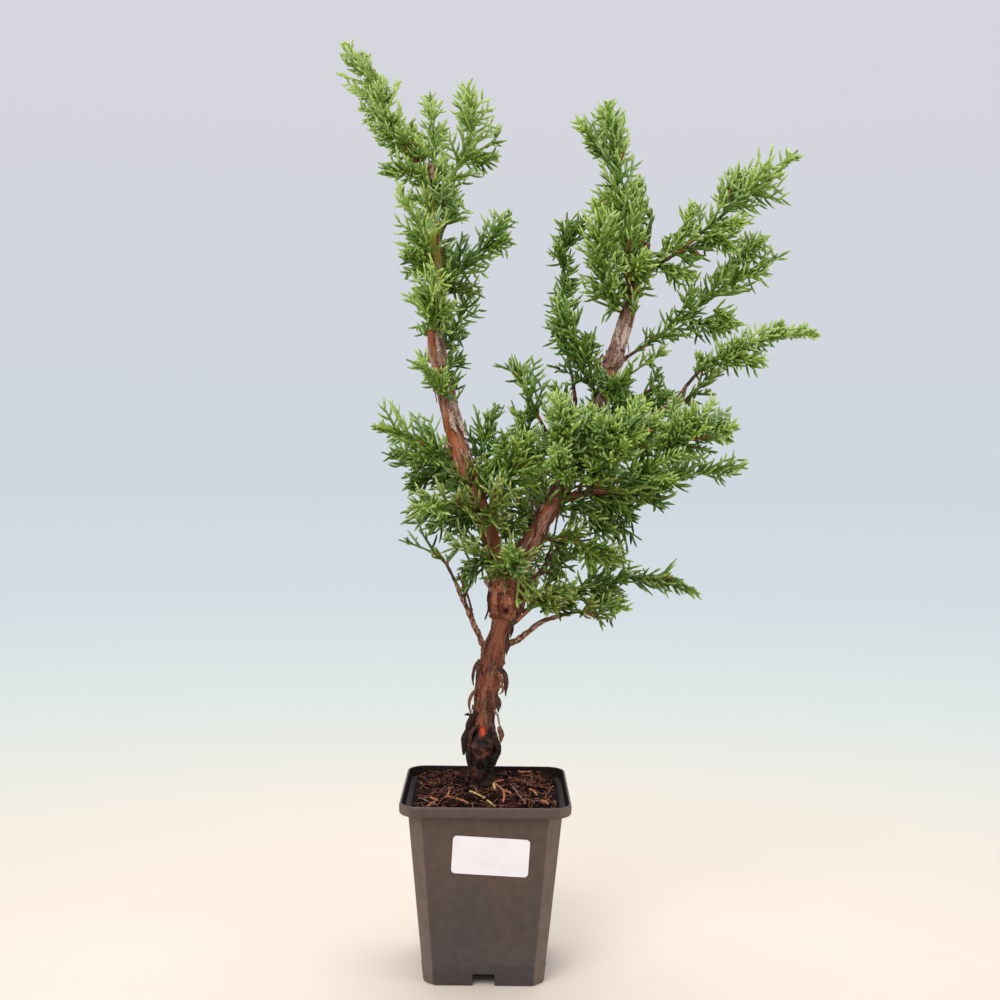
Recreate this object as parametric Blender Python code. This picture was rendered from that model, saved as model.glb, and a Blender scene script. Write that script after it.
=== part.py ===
"""A young Kishu juniper, two-stemmed, in the square plastic pot it was raised in.

The frame is +Z up, in metres, with its origin on the ground under the middle of the pot, and the
front of the plant towards -Y. Sizes are named in millimetres. A place on the plant is written as
(across, up, back): across and up are read on the upright plane through the middle of the pot, as
the plant is seen from EYE, and back is how far behind that plane the place lies.
"""

import math
import random

import bmesh
import bpy
from mathutils import Matrix, Vector
from mathutils.bvhtree import BVHTree
from mathutils.kdtree import KDTree

MM = 0.001
EYE = Vector((4.0, -904.0, 357.0))
GAP = 0.3

POT_HEIGHT = 120.0
RIM_HALF = 55.0
RIM_CORNER = 13.0
RIM_SKIRT = 7.0
# The rim's outside and inside faces, as places (how far in from RIM_HALF, above the skirt's foot).
RIM_OUTSIDE = [(1.6, 0.0), (0.5, 0.9), (0.0, 6.0), (0.5, 6.8), (1.2, RIM_SKIRT)]
RIM_INSIDE = [(2.9, 1.2), (2.4, 6.4), (1.9, RIM_SKIRT + 1.0)]
BODY_TOP_HALF = 49.5
FOOT_HALF = 39.2
BODY_TOP_CHAMFER = 9.0
FOOT_CHAMFER = 7.15
UNDER_SKIRT = 0.6
CHAMFER_SHRINK = 0.4
WALL = 1.2
FLOOR = 1.6
POCKET_WIDTH = 14.2
POCKET_DEPTH = 20.0
POCKET_HEIGHT = 7.6

GROUND = 118.0
SOIL_EDGE = 112.0
FOOT_PATCH = 14.0

CORNER_STEPS = 4
PAST_WALL = 2.0

LABEL_WIDTH = 49.0
LABEL_HEIGHT = 25.0
LABEL_CORNER = 2.5
LABEL_THICK = 0.3
LABEL_ACROSS = 3.7
LABEL_UP = 87.0
LABEL_TURN = -3.0

# Each limb: its parent, and the places it runs through with its radius there. The trunk's foot is
# cut level, just above the compost.
LIMBS = {
    "trunk": (None, [
        (-3, GROUND, 9, 8.8), (-3.4, 126, 9, 8.4), (-3.4, 140, 8, 9.0), (-3, 152, 8, 9.6),
        (-2.2, 166, 7, 7.8), (-0.6, 181, 6, 8.0), (1.9, 199, 5, 8.0), (5.0, 212, 4, 7.8),
        (8.4, 223, 2, 7.5), (10.9, 232, 1, 8.6), (11.8, 241, 0, 10.2), (12, 257, -1, 10.7),
        (13, 268, -2, 9.8), (14, 274, -2, 5.5)]),
    "left_stem": ("trunk", [
        (7, 270, -2, 6.8), (-4, 301, -6, 6.4), (-18.5, 339, -3, 6.3), (-29, 378, 5, 6.1),
        (-37, 420, 9, 5.5), (-36, 460, 8, 4.9), (-42, 525, 12, 3.2)]),
    "right_stem": ("trunk", [
        (21, 271, -2, 7.2), (36, 299, -4, 6.7), (58, 339, -4, 5.6), (71.5, 376, 0, 4.8),
        (82, 408, 2, 5.3), (92, 444, 6, 4.7), (101, 481, 12, 3.6)]),
    "low_left_bough": ("trunk", [
        (-2.5, 215, 0, 2.2), (-5.5, 220.5, -3, 1.9), (-14, 239, -11, 1.6), (-22, 257, -20, 1.2)]),
    "low_right_bough": ("trunk", [
        (15.5, 216.5, 0, 2.3), (22, 219.6, -4, 2.0), (35, 230, -11, 1.6), (52, 236, -18, 1.3)]),
    "long_right_bough": ("trunk", [
        (17, 241, 6, 2.2), (28, 255, 14, 2.0), (51, 288, 25, 1.7), (58, 309, 28, 1.5)]),
    "mid_right_bough": ("right_stem", [
        (52, 314, -10, 3.3), (68, 317, -18, 2.9), (86, 320, -26, 2.3)]),
    "up_1_bough": ("right_stem", [
        (101, 460, 6, 2.4), (106, 465, 5, 2.1), (111, 468, 4, 1.8)]),
    "up_2_bough": ("right_stem", [
        (80, 400, 6, 2.2), (84, 403, 8, 2.0), (89, 406, 10, 1.7)]),
    "up_3_bough": ("right_stem", [
        (76, 361, 4, 2.3), (99, 365, 10, 2.0), (120, 376, 10, 1.7), (130, 389, 5, 1.5)]),
    "centre_up_bough": ("right_stem", [
        (51, 341, -11, 2.4), (45, 346, -18, 2.0), (37, 357, -24, 1.5)]),
    "thin_left_bough": ("right_stem", [
        (50, 332, 6, 1.8), (54, 352, 14, 1.6), (56, 377, 16, 1.4), (51, 407, 18, 1.1)]),
}

LIMB_STEP = 12.0
FEWEST_LIMB_RINGS = 6
THICK_LIMB = 8.0
THIN_LIMB = 5.0
THICK_SIDES = 12
MIDDLE_SIDES = 10
THIN_SIDES = 6
CURVE_SAMPLES = 12

# Each mass of foliage: the limb it grows from, the places its stem runs through, how far its
# shoots reach from that stem, and how much of the stem is bare at its foot.
MASSES = {
    "leader_left": ("left_stem", [
        (-47, 529, 11), (-57, 541, 6), (-72, 569, 2), (-97, 608, -2)], 19, 0.05),
    "leader_back": ("left_stem", [(-40, 516, 18), (-38, 540, 26), (-41, 572, 30)], 13, 0.15),
    "leader_right": ("left_stem", [
        (-34, 502, 8), (-24, 527, 4), (-14, 554, 0), (-17, 580, -4)], 18, 0.1),
    "neck_front": ("left_stem", [(-41, 471, 0), (-48, 491, -15), (-61, 514, -20)], 17, 0.15),
    "neck_back": ("left_stem", [(-36, 474, 15), (-31, 492, 30), (-27, 515, 38)], 15, 0.15),
    "left_side": ("left_stem", [(-30, 452, 6), (-18, 465, 2), (-2, 480, -2), (12, 499, -6)], 17, 0.2),
    "waist_front": ("left_stem", [(-38, 424, 1), (-40, 442, -14), (-38, 466, -20)], 17, 0.15),
    "waist_right": ("left_stem", [(-30, 411, 14), (-23, 424, 24), (-15, 445, 28)], 16, 0.15),
    "left_tuft": ("left_stem", [
        (-30, 378, -4), (-34, 387, -14), (-43, 397, -21), (-55, 403, -23)], 13, 0.2),
    "left_low_tip": ("left_stem", [
        (-26, 339, -5), (-43, 348, -8), (-59, 355, -10), (-78, 359, -12)], 18, 0.15),
    "left_low_under": ("left_stem", [
        (-20, 332, 6), (-36, 334, 17), (-56, 337, 23), (-71, 342, 25)], 14, 0.2),
    "left_front": ("left_stem", [
        (-6, 304, -14), (-19, 305, -28), (-39, 307, -38), (-58, 302, -42)], 19, 0.1),
    "low_left_tip": ("low_left_bough", [(-30, 271, -26), (-44, 279, -32), (-59, 284, -34)], 16, 0.0),
    "fork_left": ("left_stem", [(1, 273, -12), (-10, 276, -26), (-26, 286, -36)], 18, 0.1),
    "front_drop": ("trunk", [(11, 264, -14), (14, 271, -28), (20, 262, -40), (19, 243, -46)], 17, 0.1),
    "front_up": ("left_stem", [(-1, 297, -16), (2, 308, -34), (7, 323, -46)], 18, 0.1),
    "centre_back": ("left_stem", [(-9, 330, 6), (-4, 349, 20), (4, 373, 28)], 17, 0.2),
    "centre_mid": ("left_stem", [
        (-2, 320, -10), (9, 324, -18), (18, 338, -28), (27, 355, -34)], 19, 0.15),
    "centre_plume": ("centre_up_bough", [(28, 374, -26), (18, 394, -22), (9, 411, -18)], 18, 0.0),
    "thin_left_tall": ("thin_left_bough", [(47, 430, 20), (47, 463, 24), (49, 500, 26)], 14, 0.0),
    "inner_left": ("right_stem", [
        (66, 388, -4), (61, 401, -7), (53, 421, -10), (43, 443, -12)], 17, 0.15),
    "top_leader": ("right_stem", [
        (90, 452, -3), (89, 473, -7), (84, 506, -8), (79, 539, -4), (75, 571, 0)], 19, 0.1),
    "top_mid_left": ("right_stem", [
        (80, 438, -4), (75, 452, -12), (71, 476, -20), (69, 506, -22)], 17, 0.1),
    "top_right": ("right_stem", [(101, 473, 16), (104, 491, 22), (105, 519, 24)], 13, 0.15),
    "top_back": ("right_stem", [(92, 466, 16), (84, 485, 34), (77, 515, 44)], 17, 0.15),
    "up_1": ("up_1_bough", [(126, 478, 0), (144, 494, -2), (163, 509, -4), (182, 524, -4),
                            (199, 542, -4)], 21, 0.0),
    "up_2": ("up_2_bough", [(104, 416, 13), (120, 428, 16), (142, 444, 16), (168, 461, 12),
                            (192, 475, 8)], 19, 0.0),
    "up_3": ("up_3_bough", [(141, 401, 0), (161, 412, -4), (184, 420, -6), (212, 423, -6)], 15, 0.0),
    "front_tuft": ("right_stem", [
        (75, 381, -8), (83, 388, -20), (92, 395, -26), (104, 404, -28)], 13, 0.15),
    "right_mid_back": ("right_stem", [
        (80, 386, 10), (99, 381, 26), (115, 389, 32), (127, 399, 34)], 15, 0.2),
    "crown_front_left": ("right_stem", [
        (51, 330, -14), (49, 345, -44), (46, 365, -60), (45, 379, -66)], 19, 0.25),
    "crown_front_mid": ("mid_right_bough", [
        (72, 324, -28), (78, 339, -42), (88, 357, -52), (102, 375, -56)], 21, 0.1),
    "crown_right": ("mid_right_bough", [
        (101, 331, -30), (118, 345, -29), (140, 356, -28), (165, 360, -26)], 21, 0.0),
    "crown_far_right": ("mid_right_bough", [
        (80, 314, -12), (112, 322, -5), (140, 331, 0), (167, 335, 2)], 18, 0.1),
    "crown_under": ("mid_right_bough", [
        (76, 312, -12), (90, 308, -4), (107, 304, 2), (120, 298, 6)], 15, 0.1),
    "lower_right": ("long_right_bough", [(74, 302, 34), (90, 293, 36), (107, 282, 36)], 17, 0.0),
    "side_right": ("right_stem", [
        (38, 286, -12), (53, 286, -20), (72, 279, -28), (90, 272, -32)], 17, 0.15),
    "low_plume": ("trunk", [(20, 236, -5), (43, 247, -8), (74, 256, -8), (104, 262, -8), (121, 260, -8),
                            (137, 251, -10)], 17, 0.3),
    "low_right_tip": ("low_right_bough", [(66, 238, -24), (80, 236, -28), (98, 229, -32)], 12, 0.0),
    "low_right_inner": ("trunk", [
        (16, 229, -10), (25, 236, -22), (38, 247, -34), (56, 255, -40)], 16, 0.2),
    "back_low": ("trunk", [(15, 264, 12), (28, 276, 40), (44, 290, 62)], 20, 0.2),
    "back_left": ("left_stem", [(-11, 317, 6), (-23, 326, 38), (-35, 338, 58)], 20, 0.25),
    "back_mid": ("right_stem", [(65, 345, 6), (80, 350, 34), (102, 358, 58)], 21, 0.2),
    "back_centre": ("right_stem", [(38, 310, 6), (32, 324, 32), (24, 338, 54)], 20, 0.2),
}

# The growing rule, shared by every mass: shoots stand in turns round the stem, a turn every few
# millimetres, each twisted on from the last. They lean forward, more so near the tip. In every
# third turn one shoot is a strong one, a side twig with shoots of its own.
TURN_STEP = 8.2
FEWEST_TURNS = 5
SHOOTS_A_TURN = 4
TURN_TWIST = math.radians(33)
LEAN_FOOT = 54.0
LEAN_TIP = 32.0
LEAN_PLAY = 7.0
SIDE_PLAY = 0.3
FOOT_SWELL = 0.8
FOOT_WIDENING = 1.5
TIP_SWELL = 0.12
TIP_WIDENING = 0.62
LONGEST = 1.15
SHORTEST = 0.8
PAST_TIP = 2.0
STRONG_EVERY = 3
STRONG_LENGTH = 1.02
STRONG_REACH = 0.42
STRONG_RISE = 0.12
STRONG_TURNS = 3
SIDE_SHOOTS = 3
MASS_SEED = 100000
SIDE_SEED = 1000
STRONG_SEED = 77
TWIG_RADIUS = 0.95
SIDE_TWIG_RADIUS = 0.8
TIP_RADIUS = 0.5

# What the solids keep of it: each plain shoot is one stout needle on a slim core.
CORE_RADIUS = 1.9
SIDE_CORE_RADIUS = 1.2
TRIES = (1.0, 0.85, 0.7, 0.55)
SPACE_SLACK = 0.25
CORE_TAPER = 2.5
TEST_MARGIN = GAP + 0.1

COLOURS = {
    "bark": ((0.27, 0.11, 0.07), 0.9, 0.0),
    "foliage": ((0.12, 0.26, 0.07), 0.6, 0.0),
    "pot_plastic": ((0.075, 0.068, 0.066), 0.5, 0.0),
    "compost": ((0.035, 0.022, 0.016), 0.95, 0.0),
    "paper": ((0.86, 0.82, 0.84), 0.6, 0.0),
}


def clear_scene():
    for obj in list(bpy.data.objects):
        bpy.data.objects.remove(obj)


def material(slot):
    found = bpy.data.materials.get(slot)
    if found:
        return found
    colour, roughness, metallic = COLOURS[slot]
    made = bpy.data.materials.new(slot)
    made.use_nodes = True
    shader = made.node_tree.nodes["Principled BSDF"]
    shader.inputs["Base Color"].default_value = (*colour, 1.0)
    shader.inputs["Roughness"].default_value = roughness
    shader.inputs["Metallic"].default_value = metallic
    return made


def spot(across, up, back):
    """The place that lies back behind the pot's middle plane, on the line of sight through (across, up)."""
    share = (back - EYE.y) / -EYE.y
    return Vector((
        EYE.x + (across - EYE.x) * share,
        back,
        EYE.z + (up - EYE.z) * share,
    ))


def mesh_object(name, points, faces, slot, smooth_angle=None):
    """A named object from points in millimetres."""
    mesh = bpy.data.meshes.new(name)
    mesh.from_pydata([Vector(p) * MM for p in points], [], faces)
    mesh.materials.append(material(slot))
    mesh.validate()
    if smooth_angle is not None:
        mesh.shade_smooth()
        mesh.set_sharp_from_angle(angle=math.radians(smooth_angle))
    made = bpy.data.objects.new(name, mesh)
    bpy.context.scene.collection.objects.link(made)
    return made


def hide_helper(obj):
    obj.hide_render = True
    obj.display_type = "WIRE"
    return obj


def boolean(obj, operation, other=None, collection=None):
    cut = obj.modifiers.new(operation.lower(), "BOOLEAN")
    cut.operation = operation
    cut.solver = "EXACT"
    if collection is None:
        cut.object = other
    else:
        cut.operand_type = "COLLECTION"
        cut.collection = collection


def apply_modifiers(obj):
    graph = bpy.context.evaluated_depsgraph_get()
    whole = bpy.data.meshes.new_from_object(obj.evaluated_get(graph))
    obj.modifiers.clear()
    obj.data = whole


def drop_scraps(obj):
    """Keeps the largest loose piece of the mesh."""
    made = bmesh.new()
    made.from_mesh(obj.data)
    left, pieces = set(made.verts), []
    while left:
        piece, front = set(), [left.pop()]
        while front:
            vert = front.pop()
            piece.add(vert)
            near = {edge.other_vert(vert) for edge in vert.link_edges} & left
            left -= near
            front += near
        pieces.append(piece)
    pieces.sort(key=len)
    bmesh.ops.delete(made, geom=[v for piece in pieces[:-1] for v in piece], context="VERTS")
    made.to_mesh(obj.data)
    made.free()


# Curves and tubes

def catmull_rom(a, b, c, d, t):
    bend = 2 * a - 5 * b + 4 * c - d
    twist = 3 * b - a - 3 * c + d
    return 0.5 * (2 * b + (c - a) * t + bend * t**2 + twist * t**3)


def smooth_path(points, steps):
    """steps + 1 vectors, evenly spaced along a smooth curve. Each may carry a radius as its w."""
    ends = [2 * points[0] - points[1], *points, 2 * points[-1] - points[-2]]
    fine = [
        catmull_rom(*ends[i:i + 4], k / CURVE_SAMPLES)
        for i in range(len(points) - 1)
        for k in range(CURVE_SAMPLES)
    ] + [points[-1]]
    run = [0.0]
    for a, b in zip(fine, fine[1:]):
        run.append(run[-1] + (b.xyz - a.xyz).length)
    path, at = [], 0
    for k in range(steps + 1):
        want = run[-1] * k / steps
        while at < len(run) - 2 and run[at + 1] < want:
            at += 1
        share = (want - run[at]) / max(run[at + 1] - run[at], 1e-9)
        path.append(fine[at].lerp(fine[at + 1], share))
    return path


def path_length(path):
    return sum((b.xyz - a.xyz).length for a, b in zip(path, path[1:]))


def tube(centres, radii, sides, first_tangent=None):
    """Points and faces of a closed tapering tube, its rings square to its run and not twisted."""
    tangents = [
        (centres[min(i + 1, len(centres) - 1)] - centres[max(i - 1, 0)]).normalized()
        for i in range(len(centres))
    ]
    if first_tangent is not None:
        tangents[0] = first_tangent
    across = tangents[0].orthogonal().normalized()
    points, faces = [], []
    for centre, radius, tangent in zip(centres, radii, tangents):
        across = (across - tangent * across.dot(tangent)).normalized()
        other = tangent.cross(across)
        for k in range(sides):
            turn = math.tau * k / sides
            points.append(centre + (across * math.cos(turn) + other * math.sin(turn)) * radius)
    for ring in range(len(centres) - 1):
        for k in range(sides):
            a, b = ring * sides + k, ring * sides + (k + 1) % sides
            faces.append((a, b, b + sides, a + sides))
    faces.append(tuple(reversed(range(sides))))
    faces.append(tuple(range(len(points) - sides, len(points))))
    return points, faces


def nearest_on(path, place):
    return min(path, key=lambda p: (p.xyz - place).length)


# Trunk, stems and boughs

def limb_path(name, paths):
    """The limb's run as (x, y, z, radius) vectors. It starts on its parent's middle line."""
    parent, places = LIMBS[name]
    knots = [Vector((*spot(*place[:3]), place[3])) for place in places]
    if parent:
        foot = nearest_on(paths[parent], knots[0].xyz)
        knots.insert(0, Vector((*foot.xyz, knots[0].w)))
    else:
        knots[0].z = GROUND + GAP
    steps = max(FEWEST_LIMB_RINGS, round(path_length(knots) / LIMB_STEP))
    return smooth_path(knots, steps)


def limb_sides(path):
    widest = max(p.w for p in path)
    if widest > THICK_LIMB:
        return THICK_SIDES
    return MIDDLE_SIDES if widest > THIN_LIMB else THIN_SIDES


def limb_shape(path, level_foot, grow=0.0):
    """The limb's points and faces, grown all round where grow is given."""
    centres = [p.xyz.copy() for p in path]
    centres[0] -= (centres[1] - centres[0]).normalized() * grow
    centres[-1] += (centres[-1] - centres[-2]).normalized() * grow
    sides = limb_sides(path)
    corner = 1 / math.cos(math.pi / sides)
    foot = Vector((0, 0, 1)) if level_foot else None
    return tube(centres, [p.w + grow * corner for p in path], sides, foot)


def make_limbs():
    """Makes every limb, and returns their runs, and their cutters: each limb grown by the gap."""
    paths, cutters = {}, {}
    for name, (parent, _) in LIMBS.items():
        path = limb_path(name, paths)
        paths[name] = path
        level_foot = parent is None
        grown = mesh_object(name + "_cutter", *limb_shape(path, level_foot, GAP), "bark")
        cutters[name] = hide_helper(grown)
        limb = mesh_object(name, *limb_shape(path, level_foot), "bark", 40)
        if parent:
            boolean(limb, "DIFFERENCE", cutters[parent])
        if name == "right_stem":
            boolean(limb, "DIFFERENCE", cutters["left_stem"])
    return paths, cutters


# Foliage

def mass_stem(name, paths):
    """The run of a mass's own stem, a place to a turn, and how many of its turns are bare."""
    parent, places, _, bare = MASSES[name]
    knots = [spot(*place) for place in places]
    knots.insert(0, nearest_on(paths[parent], knots[0]).xyz.copy())
    turns = max(FEWEST_TURNS, round(path_length(knots) / TURN_STEP))
    return smooth_path(knots, turns), max(1, round(bare * turns))


def stem_frames(path):
    """The direction at each place of the path, and a side direction that isn't twisted along it."""
    frames = []
    across = None
    for k in range(len(path)):
        run = (path[min(k + 1, len(path) - 1)] - path[max(k - 1, 0)]).normalized()
        across = run.orthogonal() if across is None else across - run * across.dot(run)
        across.normalize()
        frames.append((run, across.copy()))
    return frames


def shoot(seed, turn, number, sides, path, frames, reach):
    """The direction and the length of one shoot, by the seeded rule."""
    draw = random.Random(seed + 10 * turn + number)
    share = (turn + 0.5) / (len(path) - 1)
    run, across = frames[turn]
    angle = (number + 0.5) * math.tau / sides + (turn + 0.5) * TURN_TWIST
    angle += draw.uniform(-SIDE_PLAY, SIDE_PLAY)
    lean = LEAN_FOOT + (LEAN_TIP - LEAN_FOOT) * share + draw.uniform(-LEAN_PLAY, LEAN_PLAY)
    lean = math.radians(lean)
    side = across * math.cos(angle) + run.cross(across) * math.sin(angle)
    left = (1 - share) * path_length(path)
    swell = min(1.0, FOOT_SWELL + FOOT_WIDENING * share, TIP_SWELL + TIP_WIDENING * left / reach)
    length = reach * swell * draw.uniform(SHORTEST, LONGEST) / math.sin(lean)
    length = min(length, (left + PAST_TIP) / math.cos(lean))
    return run * math.cos(lean) + side * math.sin(lean), length


def strong_shoots(index, stem, bare, frames, reach):
    """The side twigs of a mass, as {(turn, number): run}, each run rising a little towards its tip."""
    found = {}
    for turn in range(bare, len(stem) - 4, STRONG_EVERY):
        number = random.Random(STRONG_SEED * index + turn).randrange(SHOOTS_A_TURN)
        seed = MASS_SEED * index
        direction, length = shoot(seed, turn, number, SHOOTS_A_TURN, stem, frames, reach)
        foot = stem[turn].lerp(stem[turn + 1], 0.5)
        length *= STRONG_LENGTH
        found[turn, number] = [
            foot + direction * length * t + Vector((0, 0, STRONG_RISE * length * t * t))
            for t in (k / STRONG_TURNS for k in range(STRONG_TURNS + 1))
        ]
    return found


def bvh(points, faces):
    return BVHTree.FromPolygons(points, faces)


def margin_pyramid(corners, tip):
    """The needle's pyramid grown by a little more than the gap."""
    centre = sum(corners, Vector()) / len(corners)
    grown = [c + (c - centre).normalized() * TEST_MARGIN for c in corners]
    grown.append(tip + (tip - centre).normalized() * TEST_MARGIN)
    last = len(corners)
    faces = [(k, (k + 1) % last, last) for k in range(last)] + [tuple(reversed(range(last)))]
    return bvh(grown, faces)


def in_own_space(index, place, spaces):
    """Whether the place is nearer to its own stem than to any other, each measured by its reach."""
    shares = [tree.find(place)[2] / reach for tree, reach in spaces]
    own = shares[index]
    return own <= min(shares[:index] + shares[index + 1:]) + SPACE_SLACK


def find_tip(index, corners, direction, length, spaces, others):
    """The needle's tip, drawn in until it keeps to its space and touches nothing, or None."""
    foot = sum(corners, Vector()) / len(corners)
    for share in TRIES:
        tip = foot + direction * length * share
        if not in_own_space(index, tip, spaces):
            continue
        wide = margin_pyramid(corners, tip)
        if not any(wide.overlap(other) for other in others):
            return tip
    return None


def brush(path, radii, sides, tip_of):
    """A closed core along the path. tip_of(turn, number, corners) gives each needle's tip, or None."""
    frames = stem_frames(path)
    points, faces = [], []
    for turn, (place, (run, across)) in enumerate(zip(path, frames)):
        for k in range(sides):
            angle = k * math.tau / sides + turn * TURN_TWIST
            side = across * math.cos(angle) + run.cross(across) * math.sin(angle)
            points.append(place + side * radii[turn])
    last = len(path) - 1
    for turn in range(last):
        for k in range(sides):
            a, b = turn * sides + k, turn * sides + (k + 1) % sides
            quad = (a, b, b + sides, a + sides)
            tip = tip_of(turn, k, [points[c] for c in quad])
            if tip is None:
                faces.append(quad)
                continue
            points.append(tip)
            faces += [(quad[c], quad[(c + 1) % 4], len(points) - 1) for c in range(4)]
    faces.append(tuple(reversed(range(sides))))
    points.append(path[-1] + (path[-1] - path[-2]).normalized() * PAST_TIP)
    faces += [(last * sides + k, last * sides + (k + 1) % sides, len(points) - 1) for k in range(sides)]
    return points, faces


def core_radii(count, bare, foot, middle):
    """The radius at each turn: a twig where it is bare, then a core that narrows to the tip."""
    return [
        foot if k <= bare else TIP_RADIUS + (middle - TIP_RADIUS) * min(1.0, (count - 1 - k) / CORE_TAPER)
        for k in range(count)
    ]


def side_brush(index, seed, path, reach, spaces, others):
    """A side twig with its own needles, or None where it has no room."""
    radii = core_radii(len(path), 0, SIDE_TWIG_RADIUS, SIDE_CORE_RADIUS)
    wide = bvh(*tube(path, [r + GAP for r in radii], 4))
    if not in_own_space(index, path[-1], spaces) or any(wide.overlap(other) for other in others):
        return None
    frames = stem_frames(path)

    def tip_of(turn, number, corners):
        if turn == STRONG_TURNS - 1:
            return None
        direction, length = shoot(seed, turn, number, SIDE_SHOOTS, path, frames, reach * STRONG_REACH)
        return find_tip(index, corners, direction, length, spaces, others)
    return brush(path, radii, SIDE_SHOOTS, tip_of)


def mass_brushes(index, name, stem, bare, spaces, others):
    """The brush of a mass's own stem, and the brushes of its side twigs."""
    reach = MASSES[name][2]
    frames = stem_frames(stem)
    sides = {}
    for place, path in strong_shoots(index, stem, bare, frames, reach).items():
        seed = MASS_SEED * index + SIDE_SEED * (place[0] + 1)
        made = side_brush(index, seed, path, reach, spaces, others)
        if made:
            sides[place] = made

    def tip_of(turn, number, corners):
        if turn < bare or (turn, number) in sides:
            return None
        seed = MASS_SEED * index
        direction, length = shoot(seed, turn, number, SHOOTS_A_TURN, stem, frames, reach)
        return find_tip(index, corners, direction, length, spaces, others)
    radii = core_radii(len(stem), bare, TWIG_RADIUS, CORE_RADIUS)
    return brush(stem, radii, SHOOTS_A_TURN, tip_of), list(sides.values())


def make_mass(name, main, sides, cutter):
    """The mass's brushes as one solid, cut clear of the limb that carries it."""
    mass = mesh_object(name, *main, "foliage")
    twigs = bpy.data.collections.new(name + "_twigs")
    bpy.context.scene.collection.children.link(twigs)
    for number, side in enumerate(sides):
        twig = mesh_object(f"{name}_twig_{number}", *side, "foliage")
        bpy.context.scene.collection.objects.unlink(twig)
        twigs.objects.link(twig)
    if sides:
        boolean(mass, "UNION", collection=twigs)
    boolean(mass, "DIFFERENCE", cutter)
    apply_modifiers(mass)
    drop_scraps(mass)
    for twig in list(twigs.objects):
        bpy.data.objects.remove(twig)
    bpy.data.collections.remove(twigs)


def stem_space(stem):
    """A finder of the nearest place on the stem."""
    fine = smooth_path(stem, 4 * len(stem))
    tree = KDTree(len(fine))
    for k, place in enumerate(fine):
        tree.insert(place, k)
    tree.balance()
    return tree


def joined(shapes):
    """The points and the faces of several shapes as one."""
    points, faces = [], []
    for shape_points, shape_faces in shapes:
        faces += [tuple(len(points) + c for c in face) for face in shape_faces]
        points += shape_points
    return points, faces


def make_foliage(paths, cutters):
    names = list(MASSES)
    stems = [mass_stem(name, paths) for name in names]
    spaces = [(stem_space(stem), MASSES[name][2]) for name, (stem, _) in zip(names, stems)]
    limbs = [bvh(*limb_shape(path, name == "trunk", GAP)) for name, path in paths.items()]
    taken = [bvh(*tube(stem, [CORE_RADIUS + GAP] * len(stem), 4)) for stem, _ in stems]
    for index, name in enumerate(names):
        others = limbs + taken[:index] + taken[index + 1:]
        main, sides = mass_brushes(index, name, *stems[index], spaces, others)
        taken[index] = bvh(*joined([main, *sides]))
        make_mass(name, main, sides, cutters[MASSES[name][0]])


# Pot, compost and label

def square_ring(half, corner, roundness, height):
    """A square's outline with its corners cut straight across (roundness 0) or rounded (1)."""
    ring = []
    for quarter in range(4):
        turn = Matrix.Rotation(quarter * math.pi / 2, 3, "Z")
        for k in range(CORNER_STEPS + 1):
            share = k / CORNER_STEPS
            straight = Vector((half - corner * share, half - corner * (1 - share), 0))
            angle = share * math.pi / 2
            arc = Vector((
                half - corner + corner * math.cos(angle),
                half - corner + corner * math.sin(angle),
                0,
            ))
            point = turn @ straight.lerp(arc, roundness)
            ring.append(Vector((point.x, point.y, height)))
    return ring


def loft(rings):
    """Points and faces of the closed shape through the rings, with flat ends."""
    size = len(rings[0])
    points = [p for ring in rings for p in ring]
    faces = [
        (r * size + k, r * size + (k + 1) % size, (r + 1) * size + (k + 1) % size, (r + 1) * size + k)
        for r in range(len(rings) - 1)
        for k in range(size)
    ]
    faces.append(tuple(reversed(range(size))))
    faces.append(tuple(range(len(points) - size, len(points))))
    return points, faces


def body_half(height):
    return FOOT_HALF + (BODY_TOP_HALF - FOOT_HALF) * height / (POT_HEIGHT - RIM_SKIRT)


def body_chamfer(height):
    return FOOT_CHAMFER + (BODY_TOP_CHAMFER - FOOT_CHAMFER) * height / (POT_HEIGHT - RIM_SKIRT)


def inner_ring(height, less):
    """A ring inside the pot's wall, less than the wall's inner face by that much."""
    half = body_half(height) - WALL - less
    return square_ring(half, body_chamfer(height) - CHAMFER_SHRINK * (WALL + less), 0.0, height)


def pocket_boxes(grow):
    """The four drain pockets as boxes, one in the middle of each side, grown where grow is given."""
    width = POCKET_WIDTH + 2 * grow
    depth = POCKET_DEPTH + grow + PAST_WALL
    height = POCKET_HEIGHT + grow + PAST_WALL
    points, faces = [], []
    for quarter in range(4):
        turn = Matrix.Rotation(quarter * math.pi / 2, 3, "Z")
        made = bmesh.new()
        bmesh.ops.create_cube(made, size=1.0)
        first = len(points)
        for vert in made.verts:
            place = Vector((
                vert.co.x * width,
                (0.5 + vert.co.y) * depth - FOOT_HALF - PAST_WALL,
                (0.5 + vert.co.z) * height - PAST_WALL,
            ))
            points.append(turn @ place)
        faces += [tuple(first + v.index for v in face.verts) for face in made.faces]
        made.free()
    return points, faces


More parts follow.
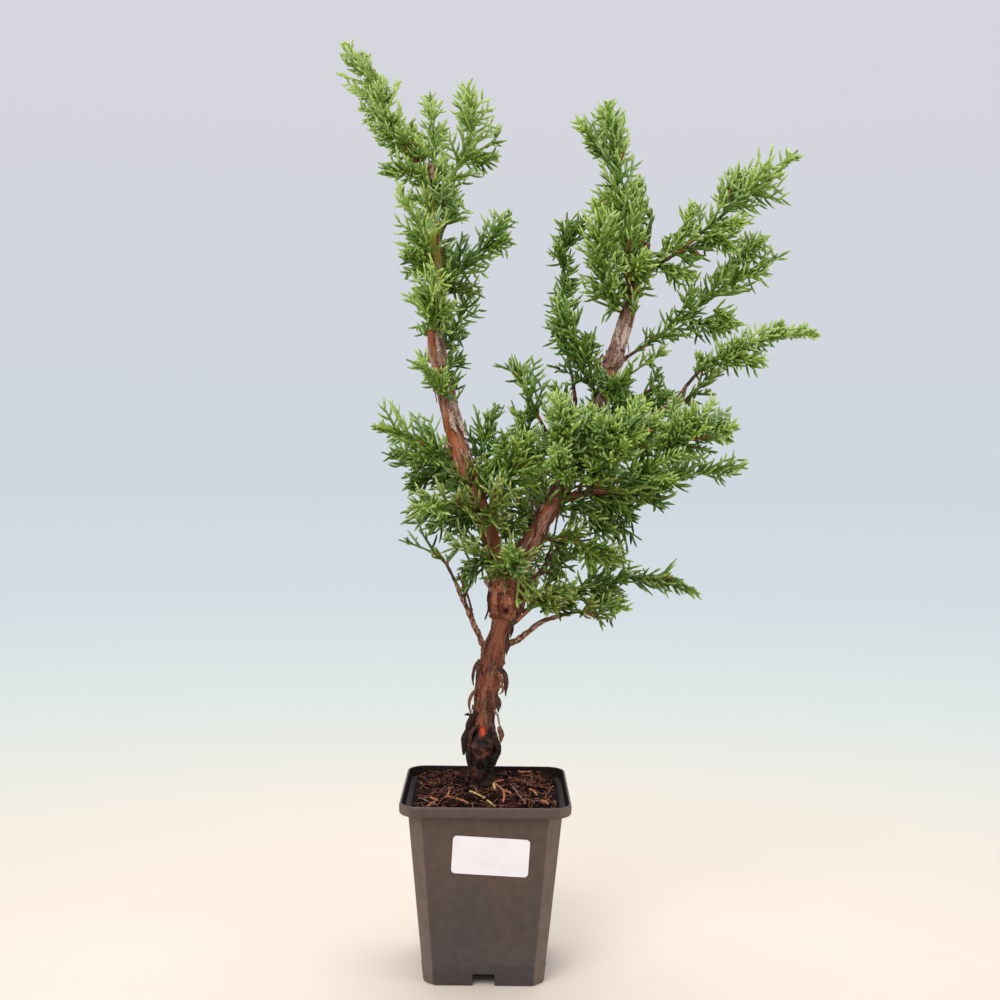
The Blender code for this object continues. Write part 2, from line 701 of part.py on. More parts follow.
def make_pot():
    """The pot: a tapered square shell with cut corners, a rolled rim and a drain pocket in each side."""
    skirt_foot = POT_HEIGHT - RIM_SKIRT
    outside = [
        square_ring(FOOT_HALF, FOOT_CHAMFER, 0.0, 0.0),
        square_ring(body_half(60), body_chamfer(60), 0.0, 60.0),
        square_ring(BODY_TOP_HALF, BODY_TOP_CHAMFER, 0.3, skirt_foot - UNDER_SKIRT),
    ]
    for inset, above in RIM_OUTSIDE:
        outside.append(square_ring(RIM_HALF - inset, RIM_CORNER, 1.0, skirt_foot + above))
    pot = mesh_object("pot", *loft(outside), "pot_plastic", 35)
    inside = [inner_ring(FLOOR, 0.0), inner_ring(skirt_foot - UNDER_SKIRT, 0.0)]
    for inset, above in RIM_INSIDE:
        inside.append(square_ring(RIM_HALF - inset, RIM_CORNER - inset, 1.0, skirt_foot + above))
    cavity = mesh_object("pot_cavity", *loft(inside), "pot_plastic")
    housings = mesh_object("pocket_housings", *pocket_boxes(WALL), "pot_plastic")
    boolean(cavity, "DIFFERENCE", housings)
    pockets = mesh_object("drain_pockets", *pocket_boxes(0.0), "pot_plastic")
    boolean(pot, "DIFFERENCE", cavity)
    boolean(pot, "DIFFERENCE", pockets)
    for helper in (cavity, housings, pockets):
        hide_helper(helper)


def make_compost():
    """The compost that fills the pot, mounded a little to a level patch under the trunk."""
    def slope(half):
        return SOIL_EDGE + (GROUND - SOIL_EDGE) * (1 - (half / body_half(SOIL_EDGE)) ** 2)

    foot = spot(*LIMBS["trunk"][1][0][:3])
    rings = [
        inner_ring(FLOOR + GAP, GAP),
        inner_ring(60.0, GAP),
        inner_ring(SOIL_EDGE - 0.5, GAP),
    ]
    for half, corner, roundness in ((44.0, 9.0, 0.3), (31.0, 14.0, 1.0)):
        rings.append(square_ring(half, corner, roundness, slope(half)))
    patch = square_ring(FOOT_PATCH, FOOT_PATCH * 0.9, 1.0, GROUND)
    rings.append([p + Vector((foot.x, foot.y, 0)) for p in patch])
    compost = mesh_object("compost", *loft(rings), "compost", 50)
    blocks = mesh_object("compost_blocks", *pocket_boxes(WALL + GAP), "compost")
    boolean(compost, "DIFFERENCE", hide_helper(blocks))


def make_label():
    """The blank paper label on the front of the pot, flat against its sloping wall."""
    outline = []
    for quarter, (sx, sy) in enumerate(((1, 1), (-1, 1), (-1, -1), (1, -1))):
        for k in range(CORNER_STEPS + 1):
            angle = (quarter + k / CORNER_STEPS) * math.pi / 2
            outline.append(Vector((
                sx * (LABEL_WIDTH / 2 - LABEL_CORNER) + LABEL_CORNER * math.cos(angle),
                sy * (LABEL_HEIGHT / 2 - LABEL_CORNER) + LABEL_CORNER * math.sin(angle),
                0,
            )))
    back = [p.copy() for p in outline]
    front = [p + Vector((0, 0, LABEL_THICK)) for p in outline]
    label = mesh_object("label", *loft([back, front]), "paper")
    slope = math.atan2(body_half(POT_HEIGHT) - FOOT_HALF, POT_HEIGHT)
    lie = Matrix.Rotation(math.pi / 2 + slope, 4, "X") @ Matrix.Rotation(math.radians(LABEL_TURN), 4, "Z")
    outward = Vector((0, -math.cos(slope), -math.sin(slope)))
    wall = Vector((LABEL_ACROSS, -body_half(LABEL_UP), LABEL_UP))
    label.matrix_world = Matrix.Translation((wall + outward * GAP) * MM) @ lie


def main():
    clear_scene()
    make_pot()
    make_compost()
    make_label()
    paths, cutters = make_limbs()
    make_foliage(paths, cutters)


main()
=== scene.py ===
"""A young Kishu juniper in its square nursery pot: bark, twigs, shoots, compost and pot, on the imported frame.

Lengths are in millimetres in the frame's axes until a mesh is made. A place on the plant is written as
(across, up, back): across and up are read on the upright plane through the middle of the pot, as the
plant is seen from EYE, and back is how far behind that plane the place lies.
"""

import math
import random

import bmesh
import bpy
import numpy as np
from mathutils import Matrix, Vector, noise
from mathutils.kdtree import KDTree


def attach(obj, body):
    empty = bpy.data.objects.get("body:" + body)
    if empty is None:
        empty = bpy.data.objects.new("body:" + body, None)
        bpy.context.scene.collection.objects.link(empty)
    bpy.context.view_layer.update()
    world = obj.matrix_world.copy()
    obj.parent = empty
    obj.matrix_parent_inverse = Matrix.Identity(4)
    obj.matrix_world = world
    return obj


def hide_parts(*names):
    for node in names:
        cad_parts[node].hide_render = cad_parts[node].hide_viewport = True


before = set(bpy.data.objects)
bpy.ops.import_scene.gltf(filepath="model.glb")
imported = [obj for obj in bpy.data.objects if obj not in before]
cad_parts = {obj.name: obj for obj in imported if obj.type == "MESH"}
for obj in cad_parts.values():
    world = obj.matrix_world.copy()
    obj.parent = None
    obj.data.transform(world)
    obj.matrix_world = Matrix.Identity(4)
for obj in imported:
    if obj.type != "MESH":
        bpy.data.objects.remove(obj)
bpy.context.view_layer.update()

MM = 0.001
EYE = Vector((4.0, -904.0, 357.0))

POT_HEIGHT = 120.0
RIM_HALF = 55.0
RIM_CORNER = 13.0
RIM_SKIRT = 7.0
BODY_TOP_HALF = 49.5
FOOT_HALF = 39.2
BODY_TOP_CHAMFER = 9.0
FOOT_CHAMFER = 7.15
WALL = 1.2
FLOOR = 1.6
POCKET_WIDTH = 14.2
POCKET_DEPTH = 20.0
POCKET_HEIGHT = 7.6

GROUND = 118.0
GAP = 0.3
SOIL_EDGE = 112.0

# Each limb: its parent, and the places it runs through with its radius there. The trunk's foot is
# cut level, just above the compost.
LIMBS = {
    "trunk": (None, [
        (-3, GROUND, 9, 8.8), (-3.4, 126, 9, 8.4), (-3.4, 140, 8, 9.0), (-3, 152, 8, 9.6),
        (-2.2, 166, 7, 7.8), (-0.6, 181, 6, 8.0), (1.9, 199, 5, 8.0), (5.0, 212, 4, 7.8),
        (8.4, 223, 2, 7.5), (10.9, 232, 1, 8.6), (11.8, 241, 0, 10.2), (12, 257, -1, 10.7),
        (13, 268, -2, 9.8), (14, 274, -2, 5.5)]),
    "left_stem": ("trunk", [
        (7, 270, -2, 6.8), (-4, 301, -6, 6.4), (-18.5, 339, -3, 6.3), (-29, 378, 5, 6.1),
        (-37, 420, 9, 5.5), (-36, 460, 8, 4.9), (-42, 525, 12, 3.2)]),
    "right_stem": ("trunk", [
        (21, 271, -2, 7.2), (36, 299, -4, 6.7), (58, 339, -4, 5.6), (71.5, 376, 0, 4.8),
        (82, 408, 2, 5.3), (92, 444, 6, 4.7), (101, 481, 12, 3.6)]),
    "low_left_bough": ("trunk", [
        (-2.5, 215, 0, 2.2), (-5.5, 220.5, -3, 1.9), (-14, 239, -11, 1.6), (-22, 257, -20, 1.2)]),
    "low_right_bough": ("trunk", [
        (15.5, 216.5, 0, 2.3), (22, 219.6, -4, 2.0), (35, 230, -11, 1.6), (52, 236, -18, 1.3)]),
    "long_right_bough": ("trunk", [
        (17, 241, 6, 2.2), (28, 255, 14, 2.0), (51, 288, 25, 1.7), (58, 309, 28, 1.5)]),
    "mid_right_bough": ("right_stem", [
        (52, 314, -10, 3.3), (68, 317, -18, 2.9), (86, 320, -26, 2.3)]),
    "up_1_bough": ("right_stem", [
        (101, 460, 6, 2.4), (106, 465, 5, 2.1), (111, 468, 4, 1.8)]),
    "up_2_bough": ("right_stem", [
        (80, 400, 6, 2.2), (84, 403, 8, 2.0), (89, 406, 10, 1.7)]),
    "up_3_bough": ("right_stem", [
        (76, 361, 4, 2.3), (99, 365, 10, 2.0), (120, 376, 10, 1.7), (130, 389, 5, 1.5)]),
    "centre_up_bough": ("right_stem", [
        (51, 341, -11, 2.4), (45, 346, -18, 2.0), (37, 357, -24, 1.5)]),
    "thin_left_bough": ("right_stem", [
        (50, 332, 6, 1.8), (54, 352, 14, 1.6), (56, 377, 16, 1.4), (51, 407, 18, 1.1)]),
}

# Each mass of foliage: the limb it grows from, the places its stem runs through, how far its
# shoots reach from that stem, and how much of the stem is bare at its foot.
MASSES = {
    "leader_left": ("left_stem", [
        (-47, 529, 11), (-57, 541, 6), (-72, 569, 2), (-97, 608, -2)], 19, 0.05),
    "leader_back": ("left_stem", [(-40, 516, 18), (-38, 540, 26), (-41, 572, 30)], 13, 0.15),
    "leader_right": ("left_stem", [
        (-34, 502, 8), (-24, 527, 4), (-14, 554, 0), (-17, 580, -4)], 18, 0.1),
    "neck_front": ("left_stem", [(-41, 471, 0), (-48, 491, -15), (-61, 514, -20)], 17, 0.15),
    "neck_back": ("left_stem", [(-36, 474, 15), (-31, 492, 30), (-27, 515, 38)], 15, 0.15),
    "left_side": ("left_stem", [(-30, 452, 6), (-18, 465, 2), (-2, 480, -2), (12, 499, -6)], 17, 0.2),
    "waist_front": ("left_stem", [(-38, 424, 1), (-40, 442, -14), (-38, 466, -20)], 17, 0.15),
    "waist_right": ("left_stem", [(-30, 411, 14), (-23, 424, 24), (-15, 445, 28)], 16, 0.15),
    "left_tuft": ("left_stem", [
        (-30, 378, -4), (-34, 387, -14), (-43, 397, -21), (-55, 403, -23)], 13, 0.2),
    "left_low_tip": ("left_stem", [
        (-26, 339, -5), (-43, 348, -8), (-59, 355, -10), (-78, 359, -12)], 18, 0.15),
    "left_low_under": ("left_stem", [
        (-20, 332, 6), (-36, 334, 17), (-56, 337, 23), (-71, 342, 25)], 14, 0.2),
    "left_front": ("left_stem", [
        (-6, 304, -14), (-19, 305, -28), (-39, 307, -38), (-58, 302, -42)], 19, 0.1),
    "low_left_tip": ("low_left_bough", [(-30, 271, -26), (-44, 279, -32), (-59, 284, -34)], 16, 0.0),
    "fork_left": ("left_stem", [(1, 273, -12), (-10, 276, -26), (-26, 286, -36)], 18, 0.1),
    "front_drop": ("trunk", [(11, 264, -14), (14, 271, -28), (20, 262, -40), (19, 243, -46)], 17, 0.1),
    "front_up": ("left_stem", [(-1, 297, -16), (2, 308, -34), (7, 323, -46)], 18, 0.1),
    "centre_back": ("left_stem", [(-9, 330, 6), (-4, 349, 20), (4, 373, 28)], 17, 0.2),
    "centre_mid": ("left_stem", [
        (-2, 320, -10), (9, 324, -18), (18, 338, -28), (27, 355, -34)], 19, 0.15),
    "centre_plume": ("centre_up_bough", [(28, 374, -26), (18, 394, -22), (9, 411, -18)], 18, 0.0),
    "thin_left_tall": ("thin_left_bough", [(47, 430, 20), (47, 463, 24), (49, 500, 26)], 14, 0.0),
    "inner_left": ("right_stem", [
        (66, 388, -4), (61, 401, -7), (53, 421, -10), (43, 443, -12)], 17, 0.15),
    "top_leader": ("right_stem", [
        (90, 452, -3), (89, 473, -7), (84, 506, -8), (79, 539, -4), (75, 571, 0)], 19, 0.1),
    "top_mid_left": ("right_stem", [
        (80, 438, -4), (75, 452, -12), (71, 476, -20), (69, 506, -22)], 17, 0.1),
    "top_right": ("right_stem", [(101, 473, 16), (104, 491, 22), (105, 519, 24)], 13, 0.15),
    "top_back": ("right_stem", [(92, 466, 16), (84, 485, 34), (77, 515, 44)], 17, 0.15),
    "up_1": ("up_1_bough", [(126, 478, 0), (144, 494, -2), (163, 509, -4), (182, 524, -4),
                            (199, 542, -4)], 21, 0.0),
    "up_2": ("up_2_bough", [(104, 416, 13), (120, 428, 16), (142, 444, 16), (168, 461, 12),
                            (192, 475, 8)], 19, 0.0),
    "up_3": ("up_3_bough", [(141, 401, 0), (161, 412, -4), (184, 420, -6), (212, 423, -6)], 15, 0.0),
    "front_tuft": ("right_stem", [
        (75, 381, -8), (83, 388, -20), (92, 395, -26), (104, 404, -28)], 13, 0.15),
    "right_mid_back": ("right_stem", [
        (80, 386, 10), (99, 381, 26), (115, 389, 32), (127, 399, 34)], 15, 0.2),
    "crown_front_left": ("right_stem", [
        (51, 330, -14), (49, 345, -44), (46, 365, -60), (45, 379, -66)], 19, 0.25),
    "crown_front_mid": ("mid_right_bough", [
        (72, 324, -28), (78, 339, -42), (88, 357, -52), (102, 375, -56)], 21, 0.1),
    "crown_right": ("mid_right_bough", [
        (101, 331, -30), (118, 345, -29), (140, 356, -28), (165, 360, -26)], 21, 0.0),
    "crown_far_right": ("mid_right_bough", [
        (80, 314, -12), (112, 322, -5), (140, 331, 0), (167, 335, 2)], 18, 0.1),
    "crown_under": ("mid_right_bough", [
        (76, 312, -12), (90, 308, -4), (107, 304, 2), (120, 298, 6)], 15, 0.1),
    "lower_right": ("long_right_bough", [(74, 302, 34), (90, 293, 36), (107, 282, 36)], 17, 0.0),
    "side_right": ("right_stem", [
        (38, 286, -12), (53, 286, -20), (72, 279, -28), (90, 272, -32)], 17, 0.15),
    "low_plume": ("trunk", [(20, 236, -5), (43, 247, -8), (74, 256, -8), (104, 262, -8), (121, 260, -8),
                            (137, 251, -10)], 17, 0.3),
    "low_right_tip": ("low_right_bough", [(66, 238, -24), (80, 236, -28), (98, 229, -32)], 12, 0.0),
    "low_right_inner": ("trunk", [
        (16, 229, -10), (25, 236, -22), (38, 247, -34), (56, 255, -40)], 16, 0.2),
    "back_low": ("trunk", [(15, 264, 12), (28, 276, 40), (44, 290, 62)], 20, 0.2),
    "back_left": ("left_stem", [(-11, 317, 6), (-23, 326, 38), (-35, 338, 58)], 20, 0.25),
    "back_mid": ("right_stem", [(65, 345, 6), (80, 350, 34), (102, 358, 58)], 21, 0.2),
    "back_centre": ("right_stem", [(38, 310, 6), (32, 324, 32), (24, 338, 54)], 20, 0.2),
}

# The growing rule that the solids follow too: shoots stand in turns round a mass's stem, each turn
# twisted on from the last. In every third turn one shoot is a strong one, a side twig with its own,
# but for the last turns.
TURN_STEP = 8.2
FEWEST_TURNS = 5
SHOOTS_A_TURN = 4
TURN_TWIST = math.radians(33)
LEAN_FOOT = 54.0
LEAN_TIP = 32.0
LEAN_PLAY = 7.0
SIDE_PLAY = 0.3
FOOT_SWELL = 0.8
FOOT_WIDENING = 1.5
TIP_SWELL = 0.12
TIP_WIDENING = 0.62
LONGEST = 1.15
SHORTEST = 0.8
PAST_TIP = 2.0
STRONG_EVERY = 3
STRONG_LENGTH = 1.02
STRONG_REACH = 0.42
STRONG_RISE = 0.12
STRONG_TURNS = 3
STRONG_END = 4
SIDE_SHOOTS = 3
MASS_SEED = 100000
SIDE_SEED = 1000
STRONG_SEED = 77


# Runs of the limbs and stems, as the solids have them

LIMB_STEP = 12.0
FEWEST_LIMB_RINGS = 6
CURVE_SAMPLES = 12
SPACE_SLACK = 0.25
SPACE_SAMPLES = 4
TRIES = (1.0, 0.85, 0.7, 0.55)


def spot(across, up, back):
    """The place that lies back behind the pot's middle plane, on the line of sight through (across, up)."""
    share = (back - EYE.y) / -EYE.y
    return Vector((
        EYE.x + (across - EYE.x) * share,
        back,
        EYE.z + (up - EYE.z) * share,
    ))


def catmull_rom(a, b, c, d, t):
    """The place at t between b and c on the smooth curve that also runs through a and d."""
    bend = 2 * a - 5 * b + 4 * c - d
    twist = 3 * b - a - 3 * c + d
    return 0.5 * (2 * b + (c - a) * t + bend * t**2 + twist * t**3)


def smooth_path(points, steps):
    """steps + 1 vectors, evenly spaced along a smooth curve. Each may carry a radius as its w."""
    ends = [2 * points[0] - points[1], *points, 2 * points[-1] - points[-2]]
    fine = [
        catmull_rom(*ends[i:i + 4], k / CURVE_SAMPLES)
        for i in range(len(points) - 1)
        for k in range(CURVE_SAMPLES)
    ] + [points[-1]]
    run = [0.0]
    for a, b in zip(fine, fine[1:]):
        run.append(run[-1] + (b.xyz - a.xyz).length)
    path, at = [], 0
    for k in range(steps + 1):
        want = run[-1] * k / steps
        while at < len(run) - 2 and run[at + 1] < want:
            at += 1
        share = (want - run[at]) / max(run[at + 1] - run[at], 1e-9)
        path.append(fine[at].lerp(fine[at + 1], share))
    return path


def path_length(path):
    """The length of the path's straight steps."""
    return sum((b.xyz - a.xyz).length for a, b in zip(path, path[1:]))


def nearest_on(path, place):
    """The path's own place that is nearest."""
    return min(path, key=lambda p: (p.xyz - place).length)


def limb_knots(name, paths):
    """The places that a limb's run goes through, from the middle of its parent on."""
    parent, places = LIMBS[name]
    knots = [Vector((*spot(*place[:3]), place[3])) for place in places]
    if parent:
        foot = nearest_on(paths[parent], knots[0].xyz)
        knots.insert(0, Vector((*foot.xyz, knots[0].w)))
    else:
        knots[0].z = GROUND + GAP
    return knots


def limb_paths():
    """Each limb's run as (x, y, z, radius) vectors: in the solids' steps, and a millimetre at a time."""
    coarse, fine = {}, {}
    for name in LIMBS:
        knots = limb_knots(name, coarse)
        length = path_length(knots)
        coarse[name] = smooth_path(knots, max(FEWEST_LIMB_RINGS, round(length / LIMB_STEP)))
        fine[name] = smooth_path(knots, round(length))
    return coarse, fine


def mass_stem(name, paths):
    """The run of a mass's own stem, a place to a turn, and how many of its turns are bare."""
    parent, places, _, bare = MASSES[name]
    knots = [spot(*place) for place in places]
    knots.insert(0, nearest_on(paths[parent], knots[0]).xyz.copy())
    turns = max(FEWEST_TURNS, round(path_length(knots) / TURN_STEP))
    return smooth_path(knots, turns), max(1, round(bare * turns))


def stem_frames(path):
    """The direction at each place of the path, and a side direction that isn't twisted along it."""
    frames = []
    across = None
    for k in range(len(path)):
        run = (path[min(k + 1, len(path) - 1)] - path[max(k - 1, 0)]).normalized()
        across = run.orthogonal() if across is None else across - run * across.dot(run)
        across.normalize()
        frames.append((run, across.copy()))
    return frames


def around(run, across, angle):
    """The direction square to the run that stands at that angle from across."""
    return across * math.cos(angle) + run.cross(across) * math.sin(angle)


def leaning(run, side, lean):
    """The direction that leans from the run towards the side."""
    return run * math.cos(lean) + side * math.sin(lean)


def shoot(seed, turn, number, sides, path, frames, reach):
    """The direction and the length of one shoot, by the seeded rule."""
    draw = random.Random(seed + 10 * turn + number)
    share = (turn + 0.5) / (len(path) - 1)
    run, across = frames[turn]
    angle = (number + 0.5) * math.tau / sides + (turn + 0.5) * TURN_TWIST
    angle += draw.uniform(-SIDE_PLAY, SIDE_PLAY)
    lean = LEAN_FOOT + (LEAN_TIP - LEAN_FOOT) * share + draw.uniform(-LEAN_PLAY, LEAN_PLAY)
    lean = math.radians(lean)
    left = (1 - share) * path_length(path)
    swell = min(1.0, FOOT_SWELL + FOOT_WIDENING * share, TIP_SWELL + TIP_WIDENING * left / reach)
    length = reach * swell * draw.uniform(SHORTEST, LONGEST) / math.sin(lean)
    length = min(length, (left + PAST_TIP) / math.cos(lean))
    return leaning(run, around(run, across, angle), lean), length


def strong_shoots(index, stem, bare, frames, reach):
    """The side twigs of a mass, as {(turn, number): run}, each run rising a little towards its tip."""
    found = {}
    for turn in range(bare, len(stem) - STRONG_END, STRONG_EVERY):
        number = random.Random(STRONG_SEED * index + turn).randrange(SHOOTS_A_TURN)
        seed = MASS_SEED * index
        direction, length = shoot(seed, turn, number, SHOOTS_A_TURN, stem, frames, reach)
        foot = stem[turn].lerp(stem[turn + 1], 0.5)
        length *= STRONG_LENGTH
        found[turn, number] = [
            foot + direction * length * t + Vector((0, 0, STRONG_RISE * length * t * t))
            for t in (k / STRONG_TURNS for k in range(STRONG_TURNS + 1))
        ]
    return found


def finder(places):
    """A finder of the nearest of the places."""
    tree = KDTree(len(places))
    for k, place in enumerate(places):
        tree.insert(place.xyz, k)
    tree.balance()
    return tree


def in_own_space(index, place, spaces):
    """Whether the place is nearer to its own stem than to any other, each measured by its reach."""
    shares = [tree.find(place)[2] / reach for tree, reach in spaces]
    own = shares[index]
    return own <= min(shares[:index] + shares[index + 1:]) + SPACE_SLACK


# Meshes from arrays

class Shape:
    """Points, triangles and their material slots, gathered from many small pieces."""

    def __init__(self):
        self.points, self.triangles, self.slots, self.count = [], [], [], 0

    def add(self, points, triangles, slots):
        """One more piece, whose triangles count its own points from 0."""
        self.points.append(points)
        self.triangles.append(np.asarray(triangles) + self.count)
        self.slots.append(np.broadcast_to(slots, len(triangles)))
        self.count += len(points)

    def make(self, name, materials):
        """The object of all the pieces."""
        points = np.concatenate(self.points)
        triangles = np.concatenate(self.triangles)
        return mesh_object(name, points, triangles, materials, np.concatenate(self.slots))


def new_object(name, data):
    """An object in the scene that shows the data."""
    made = bpy.data.objects.new(name, data)
    bpy.context.scene.collection.objects.link(made)
    return made


def mesh_object(name, points, triangles, materials, slots=None):
    """A smooth object from arrays of points in millimetres and of triangles."""
    mesh = bpy.data.meshes.new(name)
    mesh.vertices.add(len(points))
    mesh.vertices.foreach_set("co", (np.asarray(points) * MM).astype(np.float32).ravel())
    mesh.loops.add(3 * len(triangles))
    mesh.loops.foreach_set("vertex_index", np.asarray(triangles).astype(np.int32).ravel())
    mesh.polygons.add(len(triangles))
    mesh.polygons.foreach_set("loop_start", np.arange(0, 3 * len(triangles), 3, dtype=np.int32))
    if slots is not None:
        mesh.polygons.foreach_set("material_index", slots.astype(np.int32))
    for entry in materials:
        mesh.materials.append(entry)
    mesh.update(calc_edges=True)
    mesh.shade_smooth()
    return new_object(name, mesh)


def set_facts(mesh, facts):
    """Writes each fact on the mesh's points, where the bark's material reads it."""
    for name, values in facts.items():
        entry = mesh.attributes.new(name, "FLOAT", "POINT")
        entry.data.foreach_set("value", values.astype(np.float32))


def unit(vectors):
    """The vectors at length 1."""
    return vectors / np.maximum(np.linalg.norm(vectors, axis=-1, keepdims=True), 1e-9)


def across_of(runs):
    """Two directions square to each run and to each other."""
    upright = np.abs(runs[..., 2:3]) > 0.9
    helper = np.where(upright, np.array([1.0, 0.0, 0.0]), np.array([0.0, 0.0, 1.0]))
    side = unit(np.cross(runs, helper))
    return side, np.cross(side, runs)


def ring_triangles(rings, sides, cap, tip):
    """Triangles of one tube: its wall, its foot's cap and its tip, the tip's point last."""
    found, segments = [], []
    for ring in range(rings - 1):
        for k in range(sides):
            a, b = ring * sides + k, ring * sides + (k + 1) % sides
            found += [(a, b, b + sides), (a, b + sides, a + sides)]
            segments += [ring, ring]
    last = (rings - 1) * sides
    if tip:
        found += [(last + k, last + (k + 1) % sides, rings * sides) for k in range(sides)]
        segments += [rings - 1] * sides
    else:
        found += [(last, last + k, last + k + 1) for k in range(1, sides - 1)]
        segments += [rings - 2] * (sides - 2)
    if cap:
        found += [(0, k + 1, k) for k in range(1, sides - 1)]
        segments += [0] * (sides - 2)
    return np.array(found), np.array(segments)


def spokes_of(side, up, sides):
    """Directions all round in the plane of side and up."""
    angle = (np.arange(sides) * math.tau / sides)[:, None]
    return side[..., None, :] * np.cos(angle) + up[..., None, :] * np.sin(angle)


def cord_shape(base, vector, curve, radius, profile, sides):
    """Many tapering, gently bent cords at once, as points (cord, point, 3), and one cord's triangles."""
    t = np.array([at for at, _ in profile])[None, :, None]
    wide = np.array([share for _, share in profile])
    centres = base[:, None] + vector[:, None] * t + curve[:, None] * t**2
    runs = unit(vector[:, None] + 2 * curve[:, None] * t)
    spokes = spokes_of(*across_of(runs), sides)
    rings = centres[:, :, None] + spokes * (radius[:, None] * wide)[:, :, None, None]
    points = rings.reshape(len(base), -1, 3)
    tips = (base + vector + curve)[:, None]
    triangles, segments = ring_triangles(len(profile), sides, True, True)
    return np.concatenate([points, tips], axis=1), triangles, segments


def add_cords(shape, cords, profile, sides):
    """Adds the cords to the shape. The last segments take each cord's second slot."""
    if not cords:
        return
    base, vector, curve, radius, low, high = (np.concatenate(part) for part in zip(*cords))
    points, triangles, segments = cord_shape(base, vector, curve, radius, profile, sides)
    per = points.shape[1]
    every = triangles[None] + (np.arange(len(base)) * per)[:, None, None]
    late = segments >= max(1, len(profile) - 2)
    slots = np.where(late[None], high[:, None], low[:, None])
    shape.add(points.reshape(-1, 3), every.reshape(-1, 3), slots.ravel())


def path_tube(path, radii, sides, tip_past=None):
    """Points and triangles of a closed tube along a path of vectors."""
    centres = np.array([p.xyz for p in path])
    frames = stem_frames([p.xyz for p in path])
    runs = np.array([run for run, _ in frames])
    side = np.array([across for _, across in frames])
    spokes = spokes_of(side, np.cross(runs, side), sides)
    points = (centres[:, None] + spokes * np.array(radii)[:, None, None]).reshape(-1, 3)
    if tip_past is not None:
        points = np.vstack([points, centres[-1] + runs[-1] * tip_past])
    triangles, segments = ring_triangles(len(path), sides, True, tip_past is not None)
    return points, triangles, segments


# Materials

def new_material(name):
    """A material, its node tree and its shader."""
    made = bpy.data.materials.new(name)
    made.use_nodes = True
    tree = made.node_tree
    return made, tree, tree.nodes["Principled BSDF"]


def feed(tree, socket, value):
    """Links the value to the socket if it is one too, and else sets it there. A colour gets its alpha."""
    if isinstance(value, bpy.types.NodeSocket):
        tree.links.new(value, socket)
    elif socket.type == "RGBA":
        socket.default_value = (*value, 1.0)
    else:
        socket.default_value = value


def dress(tree, shader, colour, roughness, shine=None):
    """The shader's colour, its roughness and, where it isn't the usual one, its specular level."""
    feed(tree, shader.inputs["Base Color"], colour)
    feed(tree, shader.inputs["Roughness"], roughness)
    if shine is not None:
        feed(tree, shader.inputs["Specular IOR Level"], shine)


def node(tree, kind, *sources, **values):
    """A new node. The sources feed its inputs in turn, and the values its properties or named inputs."""
    made = tree.nodes.new(kind)
    for key, value in values.items():
        if hasattr(made, key):
            setattr(made, key, value)
        else:
            feed(tree, made.inputs[key.replace("_", " ")], value)
    for socket, source in zip(made.inputs, sources):
        feed(tree, socket, source)
    return made


def noise_node(tree, scale, detail=4.0, stretch=(1, 1, 1)):
    """Noise in the object's own coordinates, scale features a millimetre."""
    where = node(tree, "ShaderNodeTexCoord").outputs["Object"]
    mapping = node(tree, "ShaderNodeMapping", where, Scale=stretch)
    made = node(tree, "ShaderNodeTexNoise", mapping.outputs["Vector"], Scale=scale / MM, Detail=detail)
    return made.outputs["Fac"]


def mix_colour(tree, factor, first, second, blend="MIX"):
    """A colour mix. factor, first and second are sockets or plain values."""
    made = node(tree, "ShaderNodeMix", data_type="RGBA", blend_type=blend)
    for number, value in ((0, factor), (6, first), (7, second)):
        feed(tree, made.inputs[number], value)
    return made.outputs[2]


def ramp(tree, source, stops):
    """A ramp from value to colour or to grey level, from (place, colour or level) stops."""
    made = node(tree, "ShaderNodeValToRGB", source)
    points = made.color_ramp.elements
    while len(points) < len(stops):
        points.new(0.5)
    for point, (place, value) in zip(points, stops):
        point.position = place
        point.color = (*value, 1.0) if isinstance(value, tuple) else (value, value, value, 1.0)
    return made.outputs["Color"]


def bump(tree, shader, source, strength, distance):
    """Bump on the shader's normal, distance in millimetres."""
    made = node(tree, "ShaderNodeBump", Height=source, Strength=strength, Distance=distance * MM)
    feed(tree, shader.inputs["Normal"], made.outputs["Normal"])


# Tints of the shoots from dark to bright: yellow, green, blue and olive ones, and dry brown ones.
LEAF_COLOURS = {
    "Y": [(0.050, 0.096, 0.006), (0.104, 0.180, 0.014), (0.185, 0.292, 0.030), (0.315, 0.450, 0.085),
          (0.460, 0.585, 0.180)],
    "G": [(0.034, 0.080, 0.006), (0.076, 0.152, 0.014), (0.140, 0.246, 0.030), (0.260, 0.390, 0.085),
          (0.400, 0.530, 0.170)],
    "B": [(0.026, 0.068, 0.011), (0.056, 0.124, 0.023), (0.104, 0.202, 0.045), (0.205, 0.325, 0.105),
          (0.330, 0.460, 0.190)],
    "O": [(0.046, 0.074, 0.008), (0.094, 0.134, 0.017), (0.165, 0.212, 0.036), (0.290, 0.345, 0.090),
          (0.420, 0.470, 0.170)],
    "D": [(0.130, 0.045, 0.016), (0.210, 0.075, 0.028), (0.290, 0.120, 0.042), (0.360, 0.170, 0.062),
          (0.420, 0.220, 0.085)],
}
FAMILIES = list(LEAF_COLOURS)
TINTS = 5
LEAF_GRAIN = 1.1
LEAF_GLOSS = [(0.3, 0.42), (0.7, 0.62)]
LEAF_SHINE = 0.24


def leaf_materials():
    """One material for each tint of the shoots, in the order of their slots."""
    made = []
    for family, colours in LEAF_COLOURS.items():
        for level, colour in enumerate(colours):
            entry, tree, shader = new_material(f"shoot_{family}{level}")
            scales = noise_node(tree, LEAF_GRAIN, 2.0)
            dress(tree, shader, colour, ramp(tree, scales, LEAF_GLOSS), LEAF_SHINE)
            bump(tree, shader, scales, 0.5, 0.25)
            made.append(entry)
    return made


